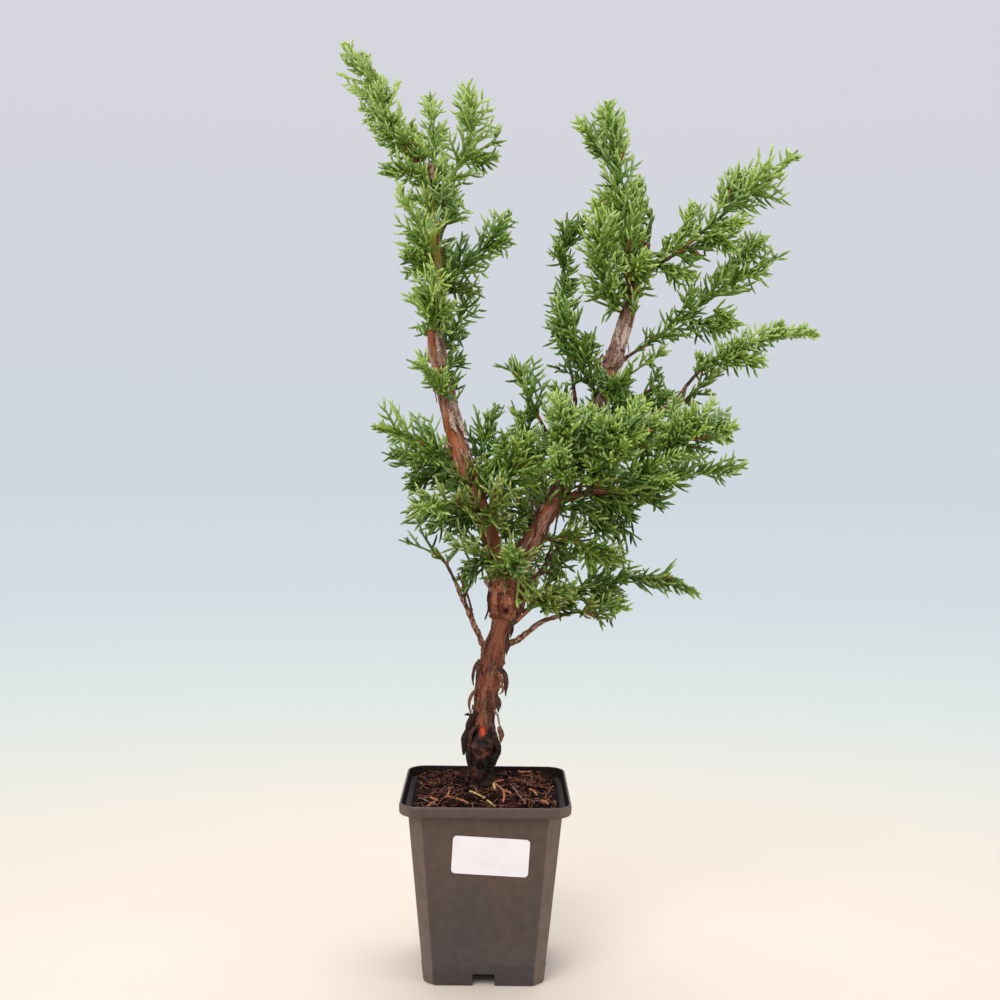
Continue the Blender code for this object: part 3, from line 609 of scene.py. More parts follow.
def tint_slot(family, level):
    """The slot of the family's tint at that level of brightness."""
    return FAMILIES.index(family) * TINTS + int(min(TINTS - 1, max(0, round(level))))


# Foliage

# Each cord's radius along it, as (place, share of its radius). A point follows the last ring.
LEAF_PROFILE = [(0.0, 0.75), (0.3, 1.0), (0.68, 0.92), (0.92, 0.5)]
AXIS_PROFILE = [(0.0, 1.25), (0.35, 1.15), (0.7, 1.0), (0.93, 0.7)]
NUB_PROFILE = [(0.0, 0.9), (0.75, 0.85)]
GOLDEN = 2.39996
# A shoot's axis: how far it bows, its share of the shoot's length, and where branchlets stand on it,
# with how far each is from its turn along and round the axis.
BOWS = (0.02, 0.16)
AXIS_SHARE = 0.93
AXIS_SPAN = (0.05, 0.96)
AXIS_PAST_LEAVES = 0.06
FEWEST_BRANCHLETS = 3
ALONG_PLAY = (0.2, 0.8)
ROUND_PLAY = 0.4
# The branchlets: how they lean from the axis, in degrees with their spread, how long and how thick
# they are by chance, and how clear of the limbs their tips and middles keep.
BRANCHLET_LEAN = (46, 6)
BRANCHLET_SIZES = (0.75, 1.1)
RADIUS_PLAY = (0.88, 1.1)
TIP_MARGIN = 0.8
MIDDLE_MARGIN = 0.6
SHOOT_MARGIN = 1.0
# The side cords that fork a branchlet: the hand they stand to, where on it they start, and the least
# length of a branchlet that carries one, as a share of its kind's.
FORKS = ((1, 0.4, 0.5), (-1, 0.62, 0.72))
FORK_PLAY = (-0.08, 0.1)
FORK_SIZES = (0.65, 1.0)
FORK_LEAN = (36, 6)
FORK_RADIUS = 0.88
FORK_CURL = 0.1
# How much brighter than their level the foot and the tip of each cord are.
LEAF_TINTS = (-0.15, 0.95)
FORK_TINTS = (0.45, 0.95)
AXIS_TINTS = (-0.3, 0.6)
CORD_TINTS = (0.0, 0.75)
WOODY_TINTS = (-0.4, 1.6)
TINT_PLAY = 0.3
# A mass's shoots past the rule's own number are shorter and darker.
EXTRA_LENGTH = 0.6
EXTRA_SHADE = 0.35
# The short cords on a stem: their step, lean in degrees and length as a share of their kind's.
CORD_STEP = 2.2
CORD_LEANS = (20, 42)
CORD_SIZES = (0.45, 0.8)
CORD_CURL = 0.15
# The shoots on a limb: their lean in degrees, and their length as a share of the limb's own.
LIMB_LEANS = (38, 66)
LIMB_SIZES = (0.7, 1.25)

# How the shoots of each kind look: the length of their branchlets, the step between them, their
# radius, how often they fork, how far they sweep towards the shoot's tip and rise, how bright they
# are, what share of the rule's shoots is left out, how much shorter the shoots get towards a stem's
# tip, how many short shoots each turn has more, how many are brown at the foot, and the weights of
# their tints.
KINDS = {
    "plume": dict(leaf=12.6, step=3.5, radius=0.84, fork=0.12, sweep=0.28, rise=0.10, level=1.75, gap=0.12,
                  taper=0.5, extra=2, woody=0.05, tints={"G": 0.72, "Y": 0.22, "B": 0.06}),
    "bright": dict(leaf=9.0, step=2.4, radius=0.85, fork=0.28, sweep=0.24, rise=0.24, level=1.8, gap=0.0,
                   taper=0.4, extra=3, woody=0.06, tints={"Y": 0.22, "G": 0.67, "B": 0.11}),
    "needle": dict(leaf=13.6, step=3.7, radius=0.82, fork=0.08, sweep=0.28, rise=0.02, level=1.5, gap=0.32,
                   taper=0.65, extra=2, woody=0.15, tints={"O": 0.56, "G": 0.32, "B": 0.12}),
    "dark": dict(leaf=12.4, step=3.4, radius=0.80, fork=0.08, sweep=0.26, rise=0.08, level=1.35, gap=0.14,
                 taper=0.55, extra=2, woody=0.1, tints={"B": 0.22, "G": 0.78}),
}
MASS_KINDS = {
    "bright": "leader_left crown_front_left crown_front_mid crown_right up_3",
    "plume": "neck_front waist_front leader_right leader_back left_tuft left_low_tip centre_mid "
             "top_leader top_mid_left top_right up_1 up_2 front_tuft crown_far_right back_low back_left "
             "back_mid back_centre neck_back",
    "needle": "left_front low_left_tip fork_left front_drop front_up side_right low_plume low_right_tip "
              "low_right_inner lower_right",
    "dark": "left_side waist_right left_low_under centre_back centre_plume thin_left_tall inner_left "
            "top_back right_mid_back crown_under",
}
FOLIAGE_PIECES = {
    "foliage_left_top": "leader_left leader_back leader_right neck_front neck_back left_side waist_front "
                        "waist_right left_tuft",
    "foliage_left_low": "left_low_tip left_low_under left_front low_left_tip fork_left front_drop front_up",
    "foliage_middle": "centre_back centre_mid centre_plume thin_left_tall inner_left top_leader top_mid_left "
                      "top_right top_back",
    "foliage_right_top": "up_1 up_2 up_3 front_tuft right_mid_back",
    "foliage_crown": "crown_front_left crown_front_mid crown_right crown_far_right crown_under",
    "foliage_low": "lower_right side_right low_plume low_right_tip low_right_inner",
    "foliage_back": "back_low back_left back_mid back_centre",
}
DRY_SHARE = 0.002
WOODY_LENGTH = 11.0
# A shoot with fewer branchlets left than this share of its own is left out.
LEAST_LEAFY = 0.45
LOW_MASSES = MASS_KINDS["needle"].split() + [
    "left_low_tip", "left_low_under", "crown_under", "crown_far_right"]
# How much of the solids' reach the shoots fill, how much sparser some masses are, and how much lighter or
# darker their tints are, partly their own tone and partly painted light.
REACH_SHARE = 0.9
THIN_MASSES = {"up_3": 0.5, "top_right": 0.62, "leader_back": 0.8, "left_tuft": 0.8, "thin_left_tall": 0.75,
               "front_tuft": 0.75, "right_mid_back": 0.8, "crown_far_right": 0.8, "low_right_tip": 0.8,
               "low_left_tip": 0.8, "neck_front": 0.82, "centre_plume": 0.85}
SPARSE = {"leader_left": 0.4, "leader_right": 0.42, "leader_back": 0.25, "neck_front": 0.28, "up_1": 0.32,
          "up_2": 0.46, "up_3": 0.2, "thin_left_tall": 0.25, "left_side": 0.15, "waist_right": 0.2,
          "crown_far_right": 0.25, "lower_right": 0.25, "low_left_tip": 0.2, "crown_under": 0.3,
          "left_low_under": 0.1, "fork_left": 0.2, "top_leader": 0.14, "low_plume": 0.12,
          "low_right_tip": 0.1, "left_low_tip": 0.08}
# Each mass's tints lighter or darker: partly its own tone, partly painted light, with the leaders at the top
# painted lighter as if lit from above.
TONES_AND_PAINTED_LIGHT = {"leader_left": 0.95, "leader_right": 0.85, "leader_back": 0.8, "neck_front": 0.95,
          "neck_back": 0.3, "waist_front": 0.5, "left_side": 0.4, "waist_right": 0.2, "left_tuft": 0.4,
          "top_leader": 0.4, "top_mid_left": 0.25, "up_1": 0.6, "up_2": 0.2, "up_3": 0.45,
          "crown_front_left": 0.25, "crown_front_mid": 0.25, "crown_right": 0.15, "crown_under": -0.3,
          "left_front": 0.4, "fork_left": 0.7, "front_drop": 0.6, "front_up": 0.4, "left_low_tip": -0.1,
          "centre_mid": 0.15, "low_right_inner": -0.35, "low_right_tip": -0.2}
# Spots where the photo shows sky, as (across, up, radius): nothing grows in front of them or behind.
SKY = [
    (-75, 609, 9), (186, 557, 7), (148, 310, 8), (133, 300, 8), (205, 514, 9), (193, 455, 7), (108, 296, 7),
    (124, 283, 9), (209, 531, 9), (166, 319, 8), (128, 268, 4), (101, 231, 6), (7, 565, 5),
    (-91, 616, 5), (-84, 609, 6), (-107, 604, 5), (-105, 596, 5),
    (-71, 596, 8), (-104, 612, 6), (-72, 514, 8), (-13, 508, 6), (18, 505, 7), (21, 485, 7), (-57, 406, 7),
    (-51, 390, 6), (-41, 378, 5), (-82, 360, 5), (-76, 342, 8), (-64, 325, 6), (-61, 307, 7), (-60, 276, 8),
    (-46, 267, 9), (-32, 263, 6), (4, 409, 6), (11, 413, 6), (22, 407, 4), (10, 381, 7), (18, 375, 4),
    (48, 503, 7), (65, 429, 7), (74, 421, 5), (34, 420, 5), (72, 578, 5), (96, 543, 6), (100, 527, 4),
    (110, 516, 9), (115, 495, 9), (107, 480, 5), (201, 549, 9), (105, 432, 6), (116, 444, 5), (192, 484, 7),
    (99, 397, 6), (112, 404, 4), (120, 392, 6), (131, 404, 4), (122, 303, 5), (111, 273, 7), (68, 227, 5),
    (-28, 487, 4), (-53, 436, 4), (-6, 543, 3), (-26, 566, 3), (53, 547, 4), (93, 553, 4), (108, 506, 5),
    (108, 490, 5), (198, 530, 5), (108, 455, 4), (188, 466, 5), (-52, 429, 4), (-72, 351, 4), (-58, 300, 3),
    (-61, 286, 3), (7, 394, 4), (47, 404, 2), (50, 393, 3), (197, 413, 5), (127, 397, 4), (98, 386, 4),
    (166, 353, 5), (170, 360, 6), (104, 285, 7), (117, 297, 6), (95, 275, 3), (28, 225, 7), (103, 305, 4),
    (143, 321, 8), (-44, 280, 5), (63, 242, 3), (44, 292, 4), (39, 281, 3), (72, 439, 4), (102, 441, 6),
    (91, 233, 5), (102, 291, 6), (11, 364, 5), (32, 237, 4), (96, 228, 5), (111, 301, 4), (106, 521, 6),
    (105, 530, 4), (24, 239, 3),
]
# Where the photo shows bare wood, as (across, up, radius, back): nothing grows in front of it there.
WINDOWS = [
    (11, 240, 8, 0), (17, 252, 5, 0), (3, 252, 6, 0), (16, 232, 5, 0), (21, 235, 4, 0), (33, 288, 6, -4),
    (38, 297, 6, -4), (43, 305, 5, -4), (-28, 372, 6, 2), (-35, 404, 6, 6), (87, 430, 6, 3),
    (81, 403, 7, 2), (58, 319, 3, -13), (66, 318, 3, -17), (74, 317, 3, -21), (82, 316, 3, -25),
    (92, 321, 2.5, -28), (119, 472, 3, 2), (129, 480, 3, 0), (139, 489, 2.5, -1), (150, 498, 2.5, -2),
    (88, 478, 2.5, -7), (86, 492, 2.5, -8), (84, 505, 2.5, -8), (137, 396, 3, 2), (131, 388, 3, 5),
    (-36, 520, 3, 8), (-36, 480, 3.5, 8), (-36, 472, 3.5, 8), (-35, 465, 3, 8), (58, 378, 3, 10),
    (-2, 312, 4, -8), (2, 290, 4, -8),
]
# Small sprigs between the masses: their kind, piece, run of (across, up, back) places and reach.
SPRIGS = [
    ("plume", "foliage_left_top", [(-45, 522, 10), (-58, 526, 2), (-71, 524, -6)], 9),
    ("plume", "foliage_left_top", [(-44, 533, 10), (-59, 545, 4), (-74, 553, 0)], 9),
    ("plume", "foliage_left_top", [(-68, 570, 2), (-76, 580, 8), (-77, 590, 10)], 6),
    ("plume", "foliage_left_top", [(-16, 535, 4), (-8, 533, 8), (0, 535, 10)], 7),
    ("bright", "foliage_left_top", [(-37, 462, 4), (-48, 466, -4), (-56, 474, -8)], 9),
    ("needle", "foliage_left_top", [(-34, 450, 6), (-21, 450, 10), (-10, 447, 14)], 8),
    ("needle", "foliage_left_top", [(-30, 394, 8), (-25, 400, 12), (-20, 405, 14)], 7),
    ("plume", "foliage_middle", [(75, 535, -4), (64, 549, -10), (57, 558, -14)], 7),
    ("plume", "foliage_middle", [(90, 498, 6), (95, 511, 8), (97, 523, 8)], 7),
    ("dark", "foliage_middle", [(57, 398, 14), (62, 411, 12), (66, 423, 8)], 9),
    ("plume", "foliage_right_top", [(97, 468, 6), (113, 466, 2), (131, 459, -2)], 11),
    ("plume", "foliage_right_top", [(122, 481, 2), (127, 493, 6), (131, 505, 8)], 7),
    ("plume", "foliage_right_top", [(112, 470, 4), (116, 482, 8), (118, 494, 10)], 7),
    ("plume", "foliage_right_top", [(150, 505, -4), (156, 517, -2), (161, 529, 0)], 7),
    ("plume", "foliage_right_top", [(138, 488, -4), (149, 484, -8), (158, 477, -10)], 8),
    ("plume", "foliage_middle", [(90, 430, 2), (96, 438, -2), (100, 444, -4)], 7),
    ("plume", "foliage_middle", [(90, 470, 4), (97, 464, -4), (102, 458, -8)], 8),
    ("plume", "foliage_right_top", [(128, 433, 14), (140, 428, 14), (152, 424, 12)], 10),
    ("needle", "foliage_right_top", [(126, 376, 4), (138, 387, 0), (149, 397, -4)], 11),
    ("plume", "foliage_right_top", [(150, 406, -2), (164, 406, -6), (178, 405, -8)], 8),
    ("bright", "foliage_crown", [(96, 345, -38), (105, 357, -42), (111, 368, -42)], 10),
    ("bright", "foliage_crown", [(118, 350, -32), (127, 362, -36), (134, 374, -36)], 10),
    ("needle", "foliage_crown", [(58, 316, -18), (74, 322, -28), (90, 328, -36)], 11),
    ("needle", "foliage_crown", [(47, 331, -12), (60, 337, -22), (73, 333, -30)], 11),
    ("needle", "foliage_crown", [(60, 322, -24), (80, 318, -34), (104, 322, -38)], 12),
    ("needle", "foliage_crown", [(92, 322, -22), (106, 315, -22), (119, 307, -20)], 10),
    ("needle", "foliage_low", [(46, 308, -10), (58, 306, -18), (72, 299, -24)], 10),
    ("needle", "foliage_low", [(36, 262, 6), (48, 271, 4), (60, 278, 2)], 10),
    ("needle", "foliage_low", [(68, 252, -10), (79, 245, -16), (90, 240, -20)], 9),
    ("needle", "foliage_left_low", [(30, 297, -6), (20, 305, -10), (10, 312, -14)], 10),
    ("needle", "foliage_left_low", [(-8, 300, -10), (-22, 300, -18), (-38, 293, -24)], 10),
    ("needle", "foliage_left_low", [(3, 270, -12), (-8, 267, -18), (-16, 254, -22)], 9),
    ("plume", "foliage_middle", [(28, 350, -20), (20, 363, -18), (14, 377, -16)], 10),
    ("dark", "foliage_middle", [(62, 404, 2), (66, 414, 0), (69, 426, -2)], 7),
    ("dark", "foliage_middle", [(58, 362, -8), (50, 374, -16), (42, 386, -20)], 10),
    ("plume", "foliage_crown", [(56, 356, -30), (50, 366, -38), (44, 377, -42)], 9),
    ("dark", "foliage_crown", [(80, 362, -8), (85, 371, -12), (90, 382, -14)], 8),
    ("dark", "foliage_right_top", [(104, 370, 14), (112, 377, 18), (120, 384, 20)], 8),
    ("plume", "foliage_right_top", [(98, 400, 14), (106, 404, 12), (113, 410, 10)], 7),
    ("dark", "foliage_left_low", [(0, 322, -4), (4, 332, -6), (8, 344, -8)], 9),
    ("dark", "foliage_middle", [(28, 338, -24), (34, 343, -28), (41, 350, -30)], 9),
    ("needle", "foliage_left_low", [(8, 290, -8), (15, 294, -12), (22, 297, -14)], 8),
    ("needle", "foliage_low", [(66, 300, -8), (74, 296, -14), (82, 293, -18)], 9),
    ("needle", "foliage_low", [(34, 250, 8), (40, 256, 6), (46, 263, 4)], 8),
    ("needle", "foliage_low", [(46, 238, -14), (52, 242, -20), (58, 247, -24)], 8),
    ("needle", "foliage_low", [(22, 248, -8), (31, 249, -12), (41, 246, -16)], 8),
    ("dark", "foliage_left_low", [(-38, 326, 10), (-45, 323, 8), (-53, 320, 6)], 8),
    ("dark", "foliage_middle", [(50, 478, 24), (54, 487, 22), (60, 496, 20)], 7),
    ("plume", "foliage_left_top", [(-32, 488, 8), (-26, 498, 8), (-20, 506, 8)], 8),
    ("plume", "foliage_right_top", [(164, 470, 10), (171, 478, 8), (177, 485, 6)], 8),
    ("plume", "foliage_right_top", [(146, 438, 14), (154, 432, 14), (162, 428, 12)], 8),
    ("bright", "foliage_crown", [(62, 350, -44), (65, 360, -50), (67, 372, -52)], 11),
    ("bright", "foliage_crown", [(72, 346, -46), (78, 356, -54), (84, 368, -58)], 11),
]
SPRIG_SEED = 900
SPRIG_SHADES = {"plume": 0.3, "bright": 0.1, "needle": -0.1, "dark": -0.1}
CLOTHED_SEED = 50
# Stretches of the limbs that short shoots clothe, by height: the limb, from, to, how many, how long the shoots
# are, their kind, how much lighter they are (painted light: the higher stretches lighter, as if lit from
# above), and their piece.
CLOTHED = [
    ("left_stem", 424, 470, 62, 11, "plume", 0.45, "foliage_left_top"),
    ("left_stem", 470, 530, 62, 11, "plume", 0.75, "foliage_left_top"),
    ("left_stem", 372, 424, 26, 9, "dark", 0.0, "foliage_left_top"),
    ("left_stem", 282, 335, 46, 13, "needle", 0.0, "foliage_left_low"),
    ("right_stem", 428, 484, 72, 12, "plume", 0.3, "foliage_middle"),
    ("right_stem", 345, 392, 30, 11, "dark", 0.0, "foliage_middle"),
    ("right_stem", 300, 330, 22, 12, "needle", 0.0, "foliage_crown"),
    ("mid_right_bough", 300, 330, 46, 12, "needle", 0.0, "foliage_crown"),
]
BARE_SPOTS = [(-24, 360, 22), (84, 425, 14), (82, 405, 12), (6, 252, 8), (30, 290, 8)]


def seen_at(points):
    """The (across, up) of each point: where its line of sight meets the plane through the pot's middle."""
    share = ((points[:, 1] - EYE.y) / -EYE.y)[:, None]
    return (points[:, [0, 2]] - (EYE.x, EYE.z)) / share + (EYE.x, EYE.z)


def near_spots(points, spots):
    """For each point, which of the (across, up, radius, ...) spots it is seen in."""
    return np.linalg.norm(seen_at(points)[:, None] - spots[None, :, :2], axis=2) < spots[None, :, 2]


def clear_of_sky(points):
    """Which points keep out of the spots of open sky, and from in front of the bare wood."""
    sky, bare = np.array(SKY, dtype=float), np.array(WINDOWS, dtype=float)
    in_front = near_spots(points, bare) & (points[:, 1, None] < bare[None, :, 3])
    return ~(near_spots(points, sky).any(axis=1) | in_front.any(axis=1))


class Growth:
    """The cords of one piece of foliage, with the kind and the random draws of what grows on it now."""

    def __init__(self, limbs):
        self.axes, self.leaves, self.nubs = [], [], []
        self.limbs = limbs

    def start(self, seed, kind):
        """The kind of what grows next, and its own draws."""
        self.rng, self.kind = np.random.default_rng(seed), KINDS[kind]

    def clear_of_limbs(self, places, margin):
        """Which places lie outside every limb."""
        centres, radii = self.limbs
        far = np.linalg.norm(places[:, None] - centres[None], axis=2) - radii[None]
        return far.min(axis=1) > margin

    def family(self, share):
        """A tint family for one shoot, yellower towards the tip of its stem."""
        tints = self.kind["tints"]
        weights = np.array([tints[name] * (1 + share if name == "Y" else 1) for name in tints])
        return list(tints)[self.rng.choice(len(tints), p=weights / weights.sum())]

    def shape(self):
        """All the cords as one shape."""
        shape = Shape()
        add_cords(shape, self.axes, AXIS_PROFILE, 5)
        add_cords(shape, self.leaves, LEAF_PROFILE, 5)
        add_cords(shape, self.nubs, NUB_PROFILE, 4)
        return shape


def grow_forks(growth, base, aim, side, size, family, level):
    """Short side cords on the longer branchlets, one to each hand, so that they end in forks."""
    rng, kind = growth.rng, growth.kind
    for hand, start, least in FORKS:
        at = start + rng.uniform(*FORK_PLAY, len(base))
        some = (size > least * kind["leaf"]) & (rng.random(len(base)) < kind["fork"])
        if not some.any():
            continue
        aims, sides = aim[some], side[some] * hand
        reach = size[some] * (1 - at[some]) * rng.uniform(*FORK_SIZES, some.sum())
        foot = base[some] + aims * (size[some] * at[some])[:, None]
        lean = np.radians(rng.normal(*FORK_LEAN, some.sum()))[:, None]
        vector = (aims * np.cos(lean) + sides * np.sin(lean)) * reach[:, None]
        free = clear_of_sky(foot + vector)
        foot, vector, low = foot[free], vector[free], level[some][free]
        slots = [np.array([tint_slot(family, value + more) for value in low], dtype=int)
                 for more in FORK_TINTS]
        radius = np.full(len(foot), kind["radius"] * FORK_RADIUS)
        curl = aims[free] * FORK_CURL * reach[free][:, None]
        growth.nubs.append((foot, vector * (1 - FORK_CURL), curl, radius, *slots))


def branchlets(growth, foot, vector, curve, length):
    """The branchlets of an axis: seats, the axis' run and the way out there, aims, lengths and places."""
    rng, leaf = growth.rng, growth.kind["leaf"]
    count = max(FEWEST_BRANCHLETS, round(length / growth.kind["step"]))
    t = np.clip((np.arange(count) + rng.uniform(*ALONG_PLAY, count)) / count, *AXIS_SPAN)
    base = foot + vector * t[:, None] + curve * (t**2)[:, None]
    run = unit(vector + 2 * curve * t[:, None])
    side, up = across_of(run)
    hand = np.arange(count) % 2 * math.pi
    turn = rng.uniform(0, math.tau) + hand + rng.normal(0, ROUND_PLAY, count)
    out = side * np.cos(turn)[:, None] + up * np.sin(turn)[:, None]
    lean = np.radians(rng.normal(*BRANCHLET_LEAN, count) * (1.1 - 0.3 * t))[:, None]
    aim = run * np.cos(lean) + out * np.sin(lean)
    size = leaf * (1.12 - 0.6 * t) * rng.uniform(*BRANCHLET_SIZES, count)
    room = np.minimum((1.02 - t) * length / 0.8 + 0.36 * leaf, 0.95 * length)
    return base, run, out, aim, np.minimum(size, room), t


def free_branchlets(growth, base, aim, size):
    """Which branchlets keep off the limbs and out of the sky."""
    tips = base + aim * size[:, None]
    middles = (base + tips) / 2
    free = growth.clear_of_limbs(tips, TIP_MARGIN) & growth.clear_of_limbs(middles, MIDDLE_MARGIN)
    return free & clear_of_sky(tips) & clear_of_sky(base) & clear_of_sky(middles)


def grow_axis(growth, foot, vector, curve, long, family, level):
    """A shoot's own axis. Some of the long ones are brown at the foot."""
    slots = [np.array([tint_slot(family, level + more)]) for more in AXIS_TINTS]
    if long and growth.rng.random() < growth.kind["woody"]:
        slots[0] = np.array([tint_slot("D", growth.rng.uniform(*WOODY_TINTS))])
    growth.axes.append((foot[None], vector[None], curve[None], np.array([growth.kind["radius"]]), *slots))


def grow_shoot(growth, foot, direction, outward, length, family, level):
    """One leafy shoot: its axis, and branchlets that lean towards its tip. Gives whether it has room."""
    rng, kind = growth.rng, growth.kind
    foot, direction, outward = (np.array(v, dtype=float) for v in (foot, direction, outward))
    bow = outward * length * rng.uniform(*BOWS)
    vector, curve = direction * length * AXIS_SHARE + bow, -bow
    found = branchlets(growth, foot, vector, curve, length)
    base, run, out, aim, size, t = found
    keep = free_branchlets(growth, base, aim, size)
    if keep.sum() < LEAST_LEAFY * len(keep):
        return False
    base, run, out, aim, size, t = (values[keep] for values in found)
    # The (t - 0.5) term makes tips lighter, their own colour. The 0.45 * aim z term is painted light:
    # branchlets aimed up get lighter tints and those aimed down darker ones, as if lit from above.
    low = level + (t - 0.5) + 0.45 * aim[:, 2] + rng.normal(0, TINT_PLAY, len(t))
    dry = rng.random(len(t)) < DRY_SHARE
    slots = [np.array([tint_slot("D" if brown else family, value + more) for value, brown in zip(low, dry)])
             for more in LEAF_TINTS]
    radius = kind["radius"] * rng.uniform(*RADIUS_PLAY, len(t))
    bend = run * kind["sweep"] + np.array([0, 0, kind["rise"]])
    growth.leaves.append((base, (aim - 0.5 * bend) * size[:, None], bend * size[:, None], radius, *slots))
    grow_forks(growth, base, aim, unit(np.cross(np.cross(run, out), aim)), size, family, low)
    part = min(1.0, t.max() + AXIS_PAST_LEAVES)
    grow_axis(growth, foot, vector * part, curve * part**2, length > WOODY_LENGTH, family, level)
    return True


def stem_cords(growth, stem, first, whole, shade):
    """Places, directions, lengths and levels of the short cords on a stem, by their tint family."""
    rng, kind = growth.rng, growth.kind
    length = path_length(stem)
    path = smooth_path(stem, max(4, round(length / CORD_STEP)))
    frames = stem_frames(path)
    groups = {}
    for k in range(int(first * len(path)), int(whole * (len(path) - 1))):
        run, across = frames[k]
        side = around(run, across, k * GOLDEN + rng.uniform(-0.4, 0.4))
        lean = math.radians(rng.uniform(*CORD_LEANS))
        share = k / len(path)
        family = growth.family(share)
        level = kind["level"] + shade - 0.3 + 0.8 * (share - 0.4) + rng.normal(0, 0.35)
        size = min(rng.uniform(*CORD_SIZES) * kind["leaf"], (1.03 - share) * length + 2)
        aim = leaning(run, side, lean)
        if clear_of_sky(np.array([(path[k] + aim * size * part)[:] for part in (0.1, 0.55, 1.0)])).all():
            groups.setdefault(family, []).append((path[k], aim, run, side, size, level))
    return groups


def clothe_stem(growth, stem, first, whole, shade):
    """Short cords that hug a mass's stem between its shoots."""
    for family, cords in stem_cords(growth, stem, first, whole, shade).items():
        base, aim, run, side = (np.array([c[i][:] for c in cords]) for i in range(4))
        size, level = (np.array([c[i] for c in cords]) for i in (4, 5))
        slots = [np.array([tint_slot(family, value + more) for value in level]) for more in CORD_TINTS]
        radius = growth.kind["radius"] * growth.rng.uniform(*RADIUS_PLAY, len(base))
        vector, curl = aim * (size * (1 - CORD_CURL))[:, None], run * (size * CORD_CURL)[:, None]
        growth.leaves.append((base, vector, curl, radius, *slots))
        grow_forks(growth, base, aim, unit(np.cross(np.cross(run, side), aim)), size, family, level)


def fitting_length(growth, index, foot, direction, length, spaces):
    """The length that keeps the shoot's tip in its mass's own space, off the limbs and out of the sky."""
    for share in TRIES:
        tip = foot + direction * length * share
        place = np.array([tip[:]])
        if (spaces is None or in_own_space(index, tip, spaces)) and clear_of_sky(place)[0] \
                and growth.clear_of_limbs(place, SHOOT_MARGIN)[0]:
            return length * share
    return None


def grow_side_twig(growth, index, turn, path, reach, family, level):
    """A side twig: its own axis and, by the same rule, its own small shoots."""
    frames = stem_frames(path)
    seed = MASS_SEED * index + SIDE_SEED * (turn + 1)
    run = (path[-1] - path[0]).normalized()
    outward = frames[0][1]
    length = (path[-1] - path[0]).length
    if not grow_shoot(growth, path[0], run, outward * 0.4, length, family, level):
        return False
    for step in range(STRONG_TURNS):
        for number in range(SIDE_SHOOTS):
            direction, length = shoot(seed, step, number, SIDE_SHOOTS, path, frames, reach * STRONG_REACH)
            foot = path[step].lerp(path[step + 1], (number + 0.5) / SIDE_SHOOTS)
            length = fitting_length(growth, index, foot, direction, length, None)
            if length:
                grow_shoot(growth, foot, direction, outward * 0.3, length, family, level + 0.2)
    return True


def grow_turn_shoot(growth, index, turn, number, stem, frames, reach, spaces, family, level):
    """One shoot of a mass's turn, shorter towards the stem's tip. Gives whether it has room."""
    share = (turn + 0.5) / (len(stem) - 1)
    direction, length = shoot(MASS_SEED * index, turn, number, SHOOTS_A_TURN, stem, frames, reach)
    length *= 1 - growth.kind["taper"] * max(0.0, share - 0.5) * 2
    if number >= SHOOTS_A_TURN:
        length *= EXTRA_LENGTH
        level -= EXTRA_SHADE
    foot = stem[turn].lerp(stem[turn + 1], (number % SHOOTS_A_TURN + 0.5) / SHOOTS_A_TURN)
    length = fitting_length(growth, index, foot, direction, length, spaces)
    if length is None:
        return False
    run = frames[turn][0]
    outward = (direction - run * direction.dot(run)).normalized()
    # Painted light: shoots that point up get lighter tints and those that point down darker ones, as if lit
    # from above.
    level += 0.55 * direction.z
    return grow_shoot(growth, foot, direction, outward, length, family, level)


def grow_tip(growth, stem, frames, shade):
    """The shoot that ends a mass's stem. Gives whether it has room."""
    length = (stem[-1] - stem[-2]).length + PAST_TIP
    family = "Y" if "Y" in growth.kind["tints"] else "G"
    level = growth.kind["level"] + shade + 0.7
    return grow_shoot(growth, stem[-2], frames[-1][0], frames[-1][1] * 0.2, length, family, level)


def grow_mass(growth, index, reach, shade, more_gap, stem, bare, spaces):
    """All the shoots of one mass, and short cords on its stem. Gives how far along the stem they go."""
    rng, kind = growth.rng, growth.kind
    frames = stem_frames(stem)
    last = len(stem) - 1
    strong = strong_shoots(index, stem, bare, frames, reach) if spaces else {}
    leafy = 0
    for turn in range(bare, last):
        share = (turn + 0.5) / last
        for number in range(SHOOTS_A_TURN + kind["extra"]):
            family = growth.family(share)
            level = kind["level"] + shade + 0.8 * (share - 0.45) + rng.normal(0, TINT_PLAY)
            twig = strong.get((turn, number))
            if twig and clear_of_sky(np.array([twig[-1][:]]))[0]:
                grown = grow_side_twig(growth, index, turn, twig, reach, family, level)
            elif rng.random() < kind["gap"] + more_gap:
                grown = False
            else:
                grown = grow_turn_shoot(growth, index, turn, number, stem, frames, reach, spaces,
                                        family, level)
            if grown:
                leafy = turn + 1
    whole = 1.0 if grow_tip(growth, stem, frames, shade) else leafy / last
    clothe_stem(growth, stem, bare / last * 0.8, whole, shade)
    return whole


